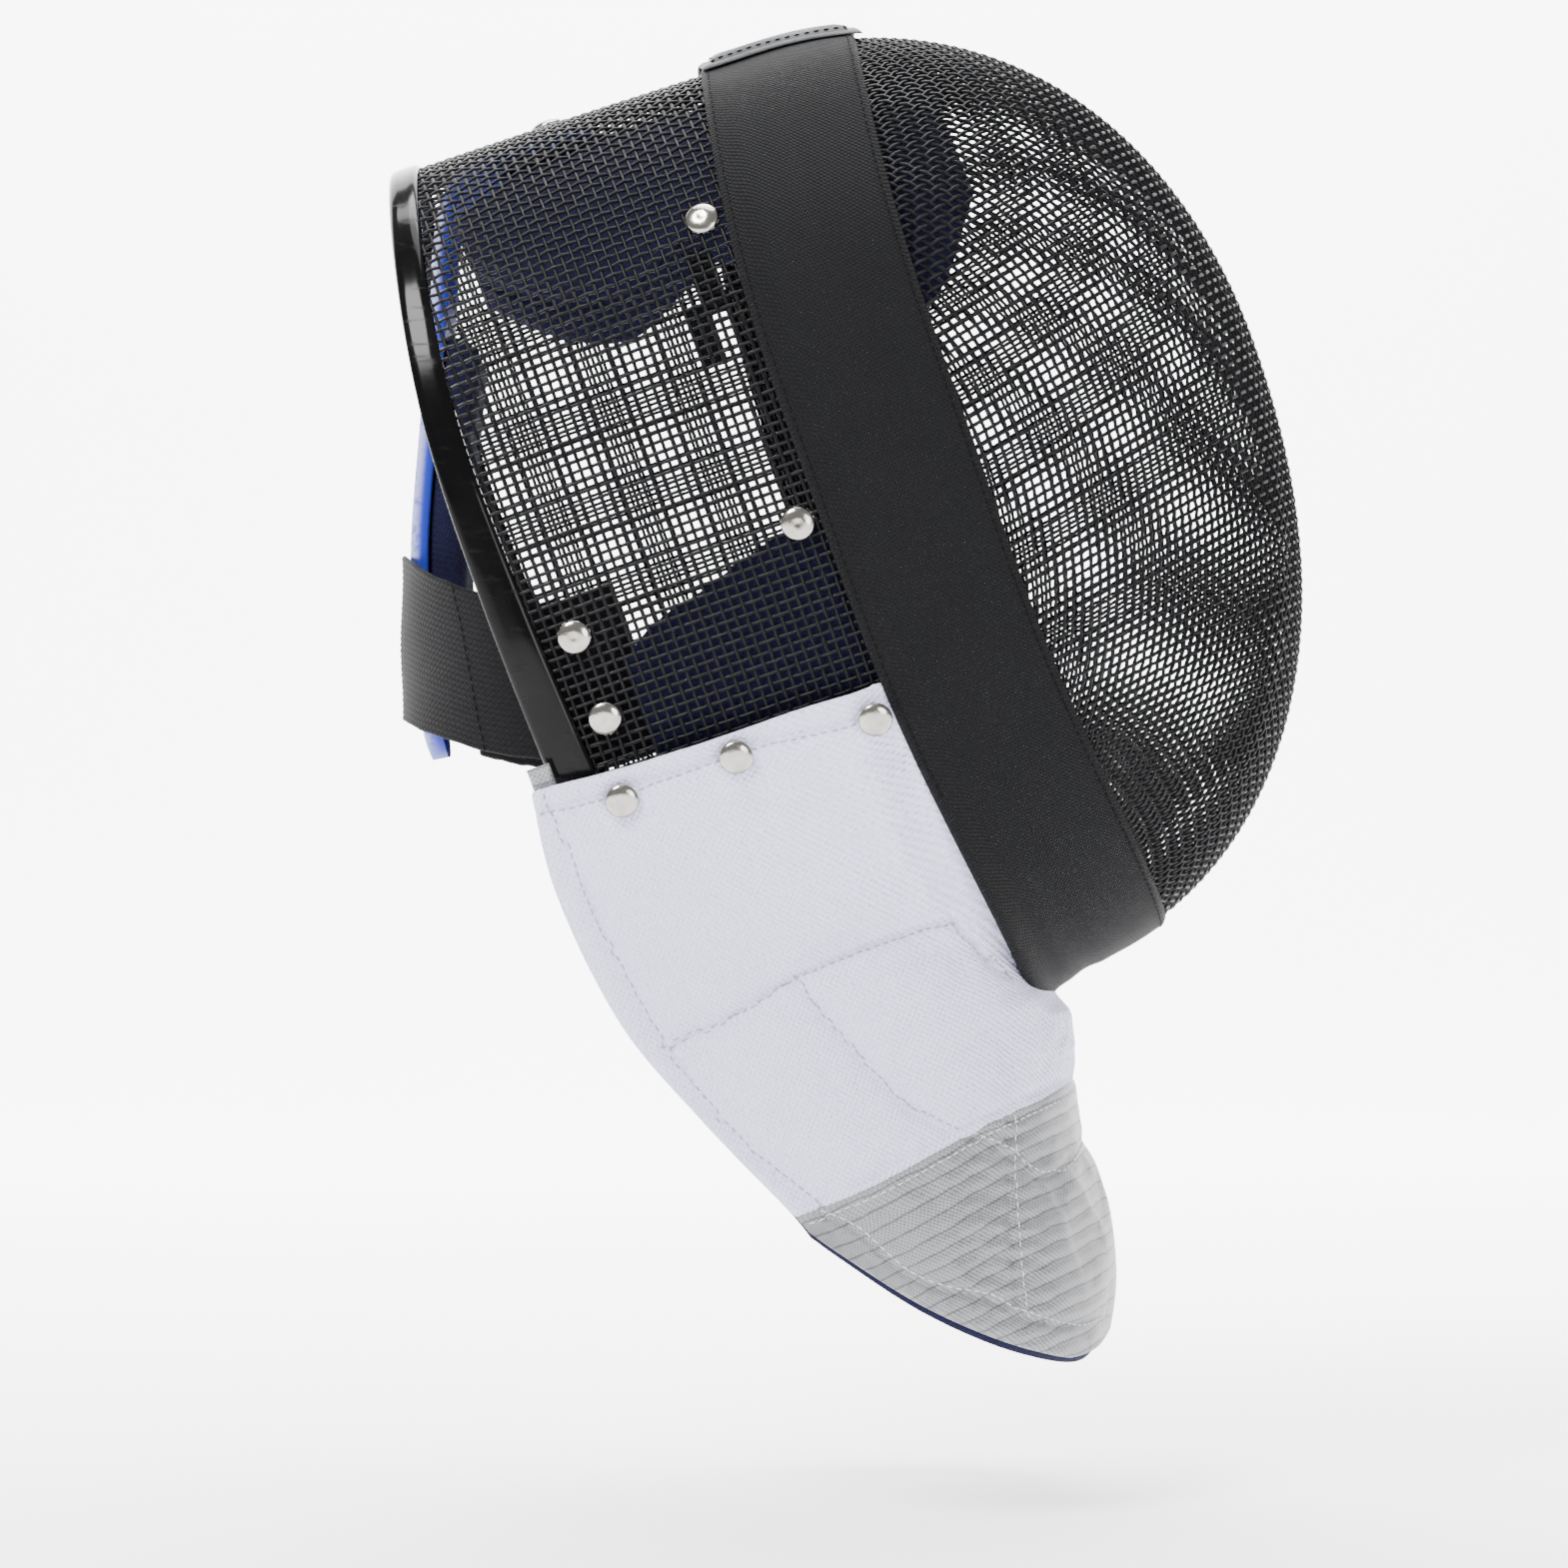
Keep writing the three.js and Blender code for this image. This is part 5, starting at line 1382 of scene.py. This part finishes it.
def build_cover(finishes):
    """The padded white upper bib, swollen between its seams and pressed in at each of them."""
    lame_up = LAME_TOP[0][1]
    # The bib's lower edge lies a little below the lower part's upper one.
    cover = bib_edges(top_edge(forward=4.5, lowered=-1.5), from_front(LAME_TOP, 0.6), THROAT[0][1],
                      lame_up - 0.6, BIB_REAR)
    base, normals, flat = bib_grid(cover, *COVER_GRID)
    to_seam = line_distance(flat, COVER_SEAMS + [BORDER_SEAM, SHORT_SEAM])
    # The cover thins out where it goes under the band.
    behind = np.interp(flat[..., 1], [up for _, up in THROAT], [fwd for fwd, _ in THROAT]) - flat[..., 0]
    reach = 5 + 9 * ease((-190 - flat[..., 1]) / 15)
    tuck = (1 - ease((behind - 0.5) / reach)) * ease((flat[..., 1] + 297) / 10)
    puff = 1 - np.exp(-to_seam / 7)
    lift = (COVER_LIFT + COVER_PUFF * puff + 0.6 * lumps(base, 24) * puff
            + 0.25 * lumps(base, 10, 2.0) * puff)
    lift = lift * (1 - tuck) + COVER_TUCKED * tuck
    outer = swell_cloth("bib_sheet", base + normals * lift[..., None],
                        border_sewn((to_seam < 1.7) | (tuck > 0.2)), frames=14, pressure=4.0, most=3.0)
    inner = np.minimum(COVER_INNER, lift - 0.9)
    cloth = finish_cloth(slab("padded_bib", outer, base + normals * inner[..., None], finishes["bib"],
                              wrapped_uv(base, flat)))

    def pressed(points):
        places = points[:, 1:]
        depth = dent(places, COVER_SEAMS, 0.95, 1.3) + dent(places, [SHORT_SEAM, BORDER_SEAM], 0.5, 1.1)
        # The panel ahead of the slanting seam lies lower than the one behind it.
        slant = np.interp(places[:, 1], [up for _, up in SLANT_SEAM[::-1]], [fwd for fwd, _ in SLANT_SEAM[::-1]])
        ahead = places[:, 0] - slant
        beside = ease((places[:, 1] + 313) / 10) * ease((-254 - places[:, 1]) / 8)
        depth = depth + 1.1 * ease(ahead / 1.5) * np.exp(-np.clip(ahead, 0, None) / 8) * beside
        pucker = dent(places, COVER_SEAMS, 0.16, 5) * np.sin(places[:, 0] * 1.1) * np.sin(places[:, 1] * 1.05)
        return depth + pucker + rivet_hollows(places)
    press(cloth, pressed)
    dress(cloth, "white_cloth", "bib_cloth")


def build_lower_bib(finishes):
    """The conductive lower part, gathered along its dart."""
    lame_up = LAME_TOP[0][1]
    lame = bib_edges(from_front(LAME_TOP, -0.4), from_front(LAME_BOTTOM), lame_up + 0.4, LAME_BOTTOM[0][1],
                     [(LAME_TOP[-1][0], LAME_TOP[-1][1] + 0.4), LAME_BOTTOM[-1]])
    base, normals, flat = bib_grid(lame, *LAME_GRID)
    to_seam = line_distance(flat, LAME_SEAMS)
    lift = LAME_LIFT + 0.6 * (1 - np.exp(-to_seam / 5)) + 0.5 * lumps(base, 17, 1.7)
    outer = swell_cloth("lame_sheet", base + normals * lift[..., None], border_sewn(to_seam < 1.5),
                        frames=12, pressure=2.5, most=1.8)
    lower = finish_cloth(slab("lame_bib", outer, base + normals * COVER_INNER, finishes["lame"]))

    def gathered(points):
        places = points[:, 1:]
        waves = np.sin(places[:, 1] * 0.95 + places[:, 0] * 0.5)
        folds = np.exp(-line_distance(places, [DART_SEAM]) / 9) * waves
        return dent(places, LAME_SEAMS, 0.7, 1.1) + 0.45 * folds
    press(lower, gathered)
    dress(lower, "lame_cloth", "bib_lame")


def build_knit_corners(finishes):
    """The small knit corners that show above the bib's upper rear corners."""
    rows, columns = KNIT_GRID
    for side, sign in (("right", -1.0), ("left", 1.0)):
        up, fwd = np.meshgrid(np.linspace(*KNIT_UPS, rows), np.linspace(*KNIT_FWDS, columns), indexing="ij")
        signs = np.full(fwd.shape, sign)
        base, out = bib_point(fwd, up, signs), bib_normal(fwd, up, signs)
        rounded = edge_share(rows, columns, 0.4, 0.3)
        knit = slab(f"knit_corner_{side}", base + out * (1.2 + 1.5 * rounded)[..., None],
                    base + out * (1 - 0.6 * rounded)[..., None], finishes["lame"])
        dress(knit, "lame_cloth")


def build_backing(finishes):
    """The navy layer behind both parts, which shows as a thin line below the lower one."""
    (top_fwd, top_up), (last_fwd, last_up) = BIB_REAR[0], LAME_BOTTOM[-1]
    rear = [(top_fwd, top_up - 8)] + BIB_REAR[1:] + [(last_fwd, last_up - LINING_DROP)]
    lining = bib_edges(top_edge(forward=-9, lowered=8), from_front(LAME_BOTTOM, LINING_DROP), THROAT[0][1],
                       LAME_BOTTOM[0][1] - LINING_DROP, rear)
    base, normals, flat = bib_grid(lining, *LINING_GRID)
    rounded = edge_share(*LINING_GRID, 0.012, 0.01) * ease((line_distance(flat, [THROAT]) - 5) / 20)
    back = slab("bib_backing", base + normals * (0.3 + 1.1 * rounded)[..., None],
                base + normals * (0.1 - 0.1 * rounded)[..., None], finishes["lining"])
    dress(back, "navy_cloth", "bib_lining")


# Where the seams of the band, the patch and the strap run, and how far off their paths start.
BAND_SEAM_ROWS, BAND_SEAM_LIFT, BAND_SEAM_END = (0.05, 0.95), 3.0, 0.1
PATCH_SEAM_SHARE, PATCH_SEAM_EDGE, PATCH_SEAM_LIFT, PATCH_STITCH = 0.87, 3, 6.0, 0.0017
STRAP_SEAM_SIDE, STRAP_SEAM_HALF_WIDTH, STRAP_SEAM_AWAY = 0.545, 0.47, (3.0, -2.5)


def build_stitches(sizes, finishes):
    """Rows of sewing thread on the bib, the band, the patch and the strap."""
    black = finishes["black thread"]
    border = [(fwd, up - 5) for fwd, up in BORDER_SEAM]
    dress(sew("bib_stitches", "padded_bib", seam_paths(COVER_SEAMS, 5), sizes, finishes["white thread"]),
          "white_cloth")
    dress(sew("lame_stitches", "lame_bib", seam_paths([*LAME_SEAMS, border], 5), sizes,
              finishes["pale thread"]), "white_cloth")
    angle = np.linspace(BAND_SEAM_END, 2 * np.pi - BAND_SEAM_END, 700)
    edges = [band_point(np.full(700, row), angle, np.full(700, BAND_SEAM_LIFT)) for row in BAND_SEAM_ROWS]
    dress(sew("band_stitches", "webbing_band", edges, sizes, black), "webbing")

    rear, front = PATCH_REAR + PATCH_SEAM_EDGE, PATCH_FRONT - PATCH_SEAM_EDGE
    fwd, lift = np.linspace(rear, front, 120), np.full(120, PATCH_SEAM_LIFT)
    share = np.linspace(-PATCH_SEAM_SHARE, PATCH_SEAM_SHARE, 120) * PATCH_HALF_ANGLE
    lines = [on_shell(turn_at(fwd), np.full(120, turn), lift)
             for turn in (-PATCH_SEAM_SHARE * PATCH_HALF_ANGLE, PATCH_SEAM_SHARE * PATCH_HALF_ANGLE)]
    lines += [on_shell(turn_at(np.full(120, place)), share, lift) for place in (rear, front)]
    dress(sew("patch_stitches", "padded_patch", lines, sizes, black, PATCH_STITCH), "patch_vinyl")

    lines = []
    aside, ahead = STRAP_SEAM_AWAY
    for sign in (-1, 1):
        centre, across = strap_station(np.full(60, sign * STRAP_SEAM_SIDE))
        width = np.linspace(-STRAP_SEAM_HALF_WIDTH, STRAP_SEAM_HALF_WIDTH, 60)[:, None] * STRAP_WIDTH
        lines.append(centre + across * width + np.array([sign * aside, ahead, 0]))
    dress(sew("strap_stitches", "elastic_strap", lines, sizes, black), "elastic")


def build_rivets(sizes, finishes):
    """Every rivet head, in the places of the solid ones."""
    points, normals, names = [], [], ["rivet_crown"]
    crown = turn_at(CROWN_RIVET_FWD)
    normals.append(shell_normal(crown, 0.0))
    points.append(shell_point(crown, 0.0) + normals[0] * RIVET_GAP)
    kinds = ("temple", "cheek", "strap_upper", "strap_lower", "bib_rear", "bib_middle", "bib_front")
    for side, sign in (("right", -1), ("left", 1)):
        for kind, (fwd, up, on_bib) in zip(kinds, SIDE_RIVETS):
            if on_bib:
                place, out = np.array([fwd, up], float), np.array([float(sign)])
                normal = bib_normal(place[:1], place[1:], out)[0]
                point = bib_point(place[:1], place[1:], out)[0] + normal * COVER_OUTER
            else:
                turn = turn_at(fwd)
                angle = sign * angle_at_up(turn, up)
                normal, point = shell_normal(turn, angle), shell_point(turn, angle)
            points.append(point + normal * RIVET_GAP)
            normals.append(normal)
            names.append(f"rivet_{kind}_{side}")
    source = line_mesh(np.array(points), np.array(normals), [])
    values = {"Radius": sizes.rivet_radius, "Height": sizes.rivet_height, "Sides": 40}
    heads = grow("rivet_heads", source, rivet_tree(), values, finishes["nickel"])
    dress(heads, "nickel", *names)


# Stage, camera and lights.
FLOOR_UP = -0.412
CAMERA_TARGET = (0, -0.0511, -0.1949)
CAMERA_DISTANCE, CAMERA_YAW, FOCAL_LENGTH, SENSOR_WIDTH = 1.55, math.radians(1), 116.2, 36

# The lamps: place, what they face, size in metres, and power as a share of the key light's.
MASK_MIDDLE = (0, -0.05, -0.18)
LIGHTS = {
    "key_light": ((-1.0, 0.75, 1.15), MASK_MIDDLE, 0.8, 1.0),
    "fill_light": ((-1.6, -1.1, 0.1), MASK_MIDDLE, 1.0, 0.34),
    "top_light": ((0.2, -0.1, 1.6), MASK_MIDDLE, 1.4, 0.6),
    "paper_light": ((0.6, 0, 1.6), (2.3, 0, 0.2), 1.6, 1.2),
}


def face_towards(obj, target):
    obj.rotation_euler = (Vector(target) - obj.location).to_track_quat("-Z", "Y").to_euler()


def soft_light(name, place, target, size, power):
    lamp = bpy.data.lights.new(name, "AREA")
    lamp.shape = "DISK"
    lamp.size, lamp.energy = size, power
    obj = place_object(name, lamp)
    obj.location = place
    face_towards(obj, target)


def build_stage(sizes, finishes):
    """White paper that sweeps up behind the mask, soft lights and the photo's camera."""
    near, far, wide, top, bend = -3.5, 1.5, 4.0, 3.0, 0.9
    turn = np.linspace(0, np.pi / 2, 24)
    profile = [(near, FLOOR_UP)] + [(far + bend * math.sin(t), FLOOR_UP + bend - bend * math.cos(t)) for t in turn]
    profile.append((far + bend, top))
    points = [(x, y, z) for x, z in profile for y in (-wide, wide)]
    faces = [(2 * k, 2 * k + 1, 2 * k + 3, 2 * k + 2) for k in range(len(profile) - 1)]
    mesh = bpy.data.meshes.new("paper_sweep")
    mesh.from_pydata(points, [], faces)
    mesh.polygons.foreach_set("use_smooth", [True] * len(faces))
    mesh.materials.append(finishes["paper"])
    place_object("paper_sweep", mesh)

    world = bpy.data.worlds.new("studio")
    world.use_nodes = True
    background = world.node_tree.nodes["Background"].inputs
    background["Color"].default_value = (1, 1, 1, 1)
    background["Strength"].default_value = sizes.room_light
    bpy.context.scene.world = world
    for name, (place, target, size, share) in LIGHTS.items():
        soft_light(name, place, target, size, sizes.key_light * share)

    camera = bpy.data.cameras.new("camera")
    camera.sensor_width, camera.lens = SENSOR_WIDTH, FOCAL_LENGTH
    view = place_object("camera", camera)
    away = Vector((-math.cos(CAMERA_YAW), math.sin(CAMERA_YAW), 0))
    view.location = Vector(CAMERA_TARGET) + CAMERA_DISTANCE * away
    face_towards(view, CAMERA_TARGET)
    bpy.context.scene.camera = view


# Settings, operators and panel.

def colour_setting(name, value, description):
    return FloatVectorProperty(name=name, description=description, subtype="COLOR", size=3, min=0, max=1,
                               default=linear(value)[:3])


def length_setting(name, value, description):
    return FloatProperty(name=name, description=description, default=value, unit="LENGTH")


class MaskSizes(PropertyGroup):
    """Sizes that a user would change, in metres."""
    wire_pitch: length_setting("Wire pitch", 0.0031, "Distance between wires")
    wire_diameter: length_setting("Wire", 0.00112, "Painted wire's diameter")
    wire_crimp: length_setting("Crimp", 0.00042, "Height of each bend")
    wire_sides: IntProperty(name="Wire sides", description="Sides of a wire's section", default=5)
    wire_fall: FloatProperty(name="Wire fall", description="Slope of the wires towards the rear",
                             default=math.radians(10.5), subtype="ANGLE")
    strap_ribs: IntProperty(name="Strap ribs", description="Ribs across the elastic", default=27)
    stitch_pitch: length_setting("Stitch pitch", 0.0029, "From stitch to stitch")
    stitch_length: length_setting("Stitch", 0.0022, "Length of a stitch")
    thread_radius: length_setting("Thread", 0.00024, "Radius of the thread")
    rivet_radius: length_setting("Rivet radius", 0.005, "Radius of a head")
    rivet_height: length_setting("Rivet height", 0.0019, "Height of a head")
    room_light: FloatProperty(name="Room light", description="Strength of the light from all round",
                              default=0.4)
    key_light: FloatProperty(name="Key light", description="Power of the key light", default=62, unit="POWER")


class MaskColours(PropertyGroup):
    """Colours of the finishes."""
    wire: colour_setting("Wire", "#09090b", "Paint on the wires")
    rim: colour_setting("Rim", "#060607", "PVC on the edge strip")
    webbing: colour_setting("Webbing", "#131315", "Band over the joint")
    patch: colour_setting("Patch", "#1e2126", "Vinyl on the crown")
    nickel: colour_setting("Nickel", "#b4b0a9", "Rivets")
    tongue: colour_setting("Tongue", "#232f8c", "PVC on the spring tongue")
    elastic: colour_setting("Elastic", "#121214", "Strap behind the head")
    lining: colour_setting("Lining", "#101132", "Pads and linings")
    bib: colour_setting("Bib", "#e3e3ff", "Upper bib")
    lame: colour_setting("Lame", "#949598", "Lower bib")


FINISHES = {}


def finishes_of(scene):
    """Every material, made once from the colour settings."""
    if not FINISHES:
        tone = {name: tuple(getattr(scene.mask_colours, name)) + (1,) for name in MaskColours.__annotations__}
        FINISHES.update({
            "wire": wire_paint(tone["wire"]),
            "rim": dipped_plastic("dipped PVC rim", tone["rim"], roughness=0.13),
            "webbing": woven_band(tone["webbing"], thread_across=0.0007, thread_along=0.00055),
            "patch": grained_vinyl(tone["patch"]),
            "nickel": polished_nickel(tone["nickel"]),
            "tongue": dipped_plastic("dipped PVC tongue", tone["tongue"], roughness=0.4, dent=0.0003, gloss=0.07),
            "elastic": ribbed_elastic(tone["elastic"], rib=0.0018),
            # The cloths' threads are drawn coarser than real ones, so that they show.
            "lining": plain_cloth("navy lining cloth", tone["lining"], thread=0.0009, depth=0.0002, shade_and_tint=0.12,
                                  sheen=0.02, blotch=30),
            "bib": plain_cloth("white bib cloth", tone["bib"], thread=0.001, depth=0.0006, shade_and_tint=0.1),
            "lame": lame_cloth(tone["lame"], thread=0.0008, rib=0.005),
            "white thread": sewing_thread("white sewing thread", linear("#9d9db4")),
            "pale thread": sewing_thread("pale sewing thread", linear("#dcdce2")),
            "black thread": sewing_thread("black sewing thread", linear("#0a0a0b")),
            "paper": studio_paper(),
        })
    return FINISHES


def make(builder, context):
    builder(context.scene.mask_sizes, finishes_of(context.scene))
    return {"FINISHED"}


class FENCING_OT_wires(Operator):
    """Weave the wires of both meshes"""
    bl_idname, bl_label = "fencing.wires", "Wire cloth"

    def execute(self, context):
        return make(build_wires, context)


class FENCING_OT_rim(Operator):
    """Make the dipped strip round the opening"""
    bl_idname, bl_label = "fencing.rim", "Edge strip"

    def execute(self, context):
        return make(build_rim, context)


class FENCING_OT_band(Operator):
    """Make the webbing band and the patch on the crown"""
    bl_idname, bl_label = "fencing.band", "Band and patch"

    def execute(self, context):
        make(build_band, context)
        return make(build_patch, context)


class FENCING_OT_tongue(Operator):
    """Make the spring tongue and its pad"""
    bl_idname, bl_label = "fencing.tongue", "Spring tongue"

    def execute(self, context):
        return make(build_tongue, context)


class FENCING_OT_strap(Operator):
    """Make the ribbed elastic strap and its ends"""
    bl_idname, bl_label = "fencing.strap", "Elastic strap"

    def execute(self, context):
        return make(build_strap, context)


class FENCING_OT_linings(Operator):
    """Make the pads and linings inside the mesh"""
    bl_idname, bl_label = "fencing.linings", "Pads and linings"

    def execute(self, context):
        return make(build_linings, context)


class FENCING_OT_bib(Operator):
    """Make the padded bib, its lower part and its lining"""
    bl_idname, bl_label = "fencing.bib", "Bib"

    def execute(self, context):
        return make(build_bib, context)


class FENCING_OT_stitches(Operator):
    """Sew the visible seams"""
    bl_idname, bl_label = "fencing.stitches", "Stitches"

    def execute(self, context):
        return make(build_stitches, context)


class FENCING_OT_rivets(Operator):
    """Press the rivet heads"""
    bl_idname, bl_label = "fencing.rivets", "Rivets"

    def execute(self, context):
        return make(build_rivets, context)


class FENCING_OT_stage(Operator):
    """Set the paper, the lights and the camera"""
    bl_idname, bl_label = "fencing.stage", "Stage"

    def execute(self, context):
        return make(build_stage, context)


OPERATORS = (FENCING_OT_wires, FENCING_OT_rim, FENCING_OT_band, FENCING_OT_tongue, FENCING_OT_strap,
             FENCING_OT_linings, FENCING_OT_bib, FENCING_OT_stitches, FENCING_OT_rivets, FENCING_OT_stage)


class FENCING_PT_mask(Panel):
    """Lists the pieces, the sizes and the colours"""
    bl_idname, bl_label = "FENCING_PT_mask", "Fencing mask"
    bl_space_type, bl_region_type, bl_category = "VIEW_3D", "UI", "Mask"

    def draw(self, context):
        for operator in OPERATORS:
            self.layout.operator(operator.bl_idname)
        for group in (context.scene.mask_sizes, context.scene.mask_colours):
            for name in type(group).__annotations__:
                self.layout.prop(group, name)


CLASSES = (MaskSizes, MaskColours, *OPERATORS, FENCING_PT_mask)


def register():
    for item in CLASSES:
        bpy.utils.register_class(item)
    bpy.types.Scene.mask_sizes = PointerProperty(type=MaskSizes)
    bpy.types.Scene.mask_colours = PointerProperty(type=MaskColours)


def unregister():
    del bpy.types.Scene.mask_sizes
    del bpy.types.Scene.mask_colours
    for item in reversed(CLASSES):
        bpy.utils.unregister_class(item)


def main():
    register()
    for operator in OPERATORS:
        group, name = operator.bl_idname.split(".")
        getattr(getattr(bpy.ops, group), name)()


if __name__ == "__main__":
    main()
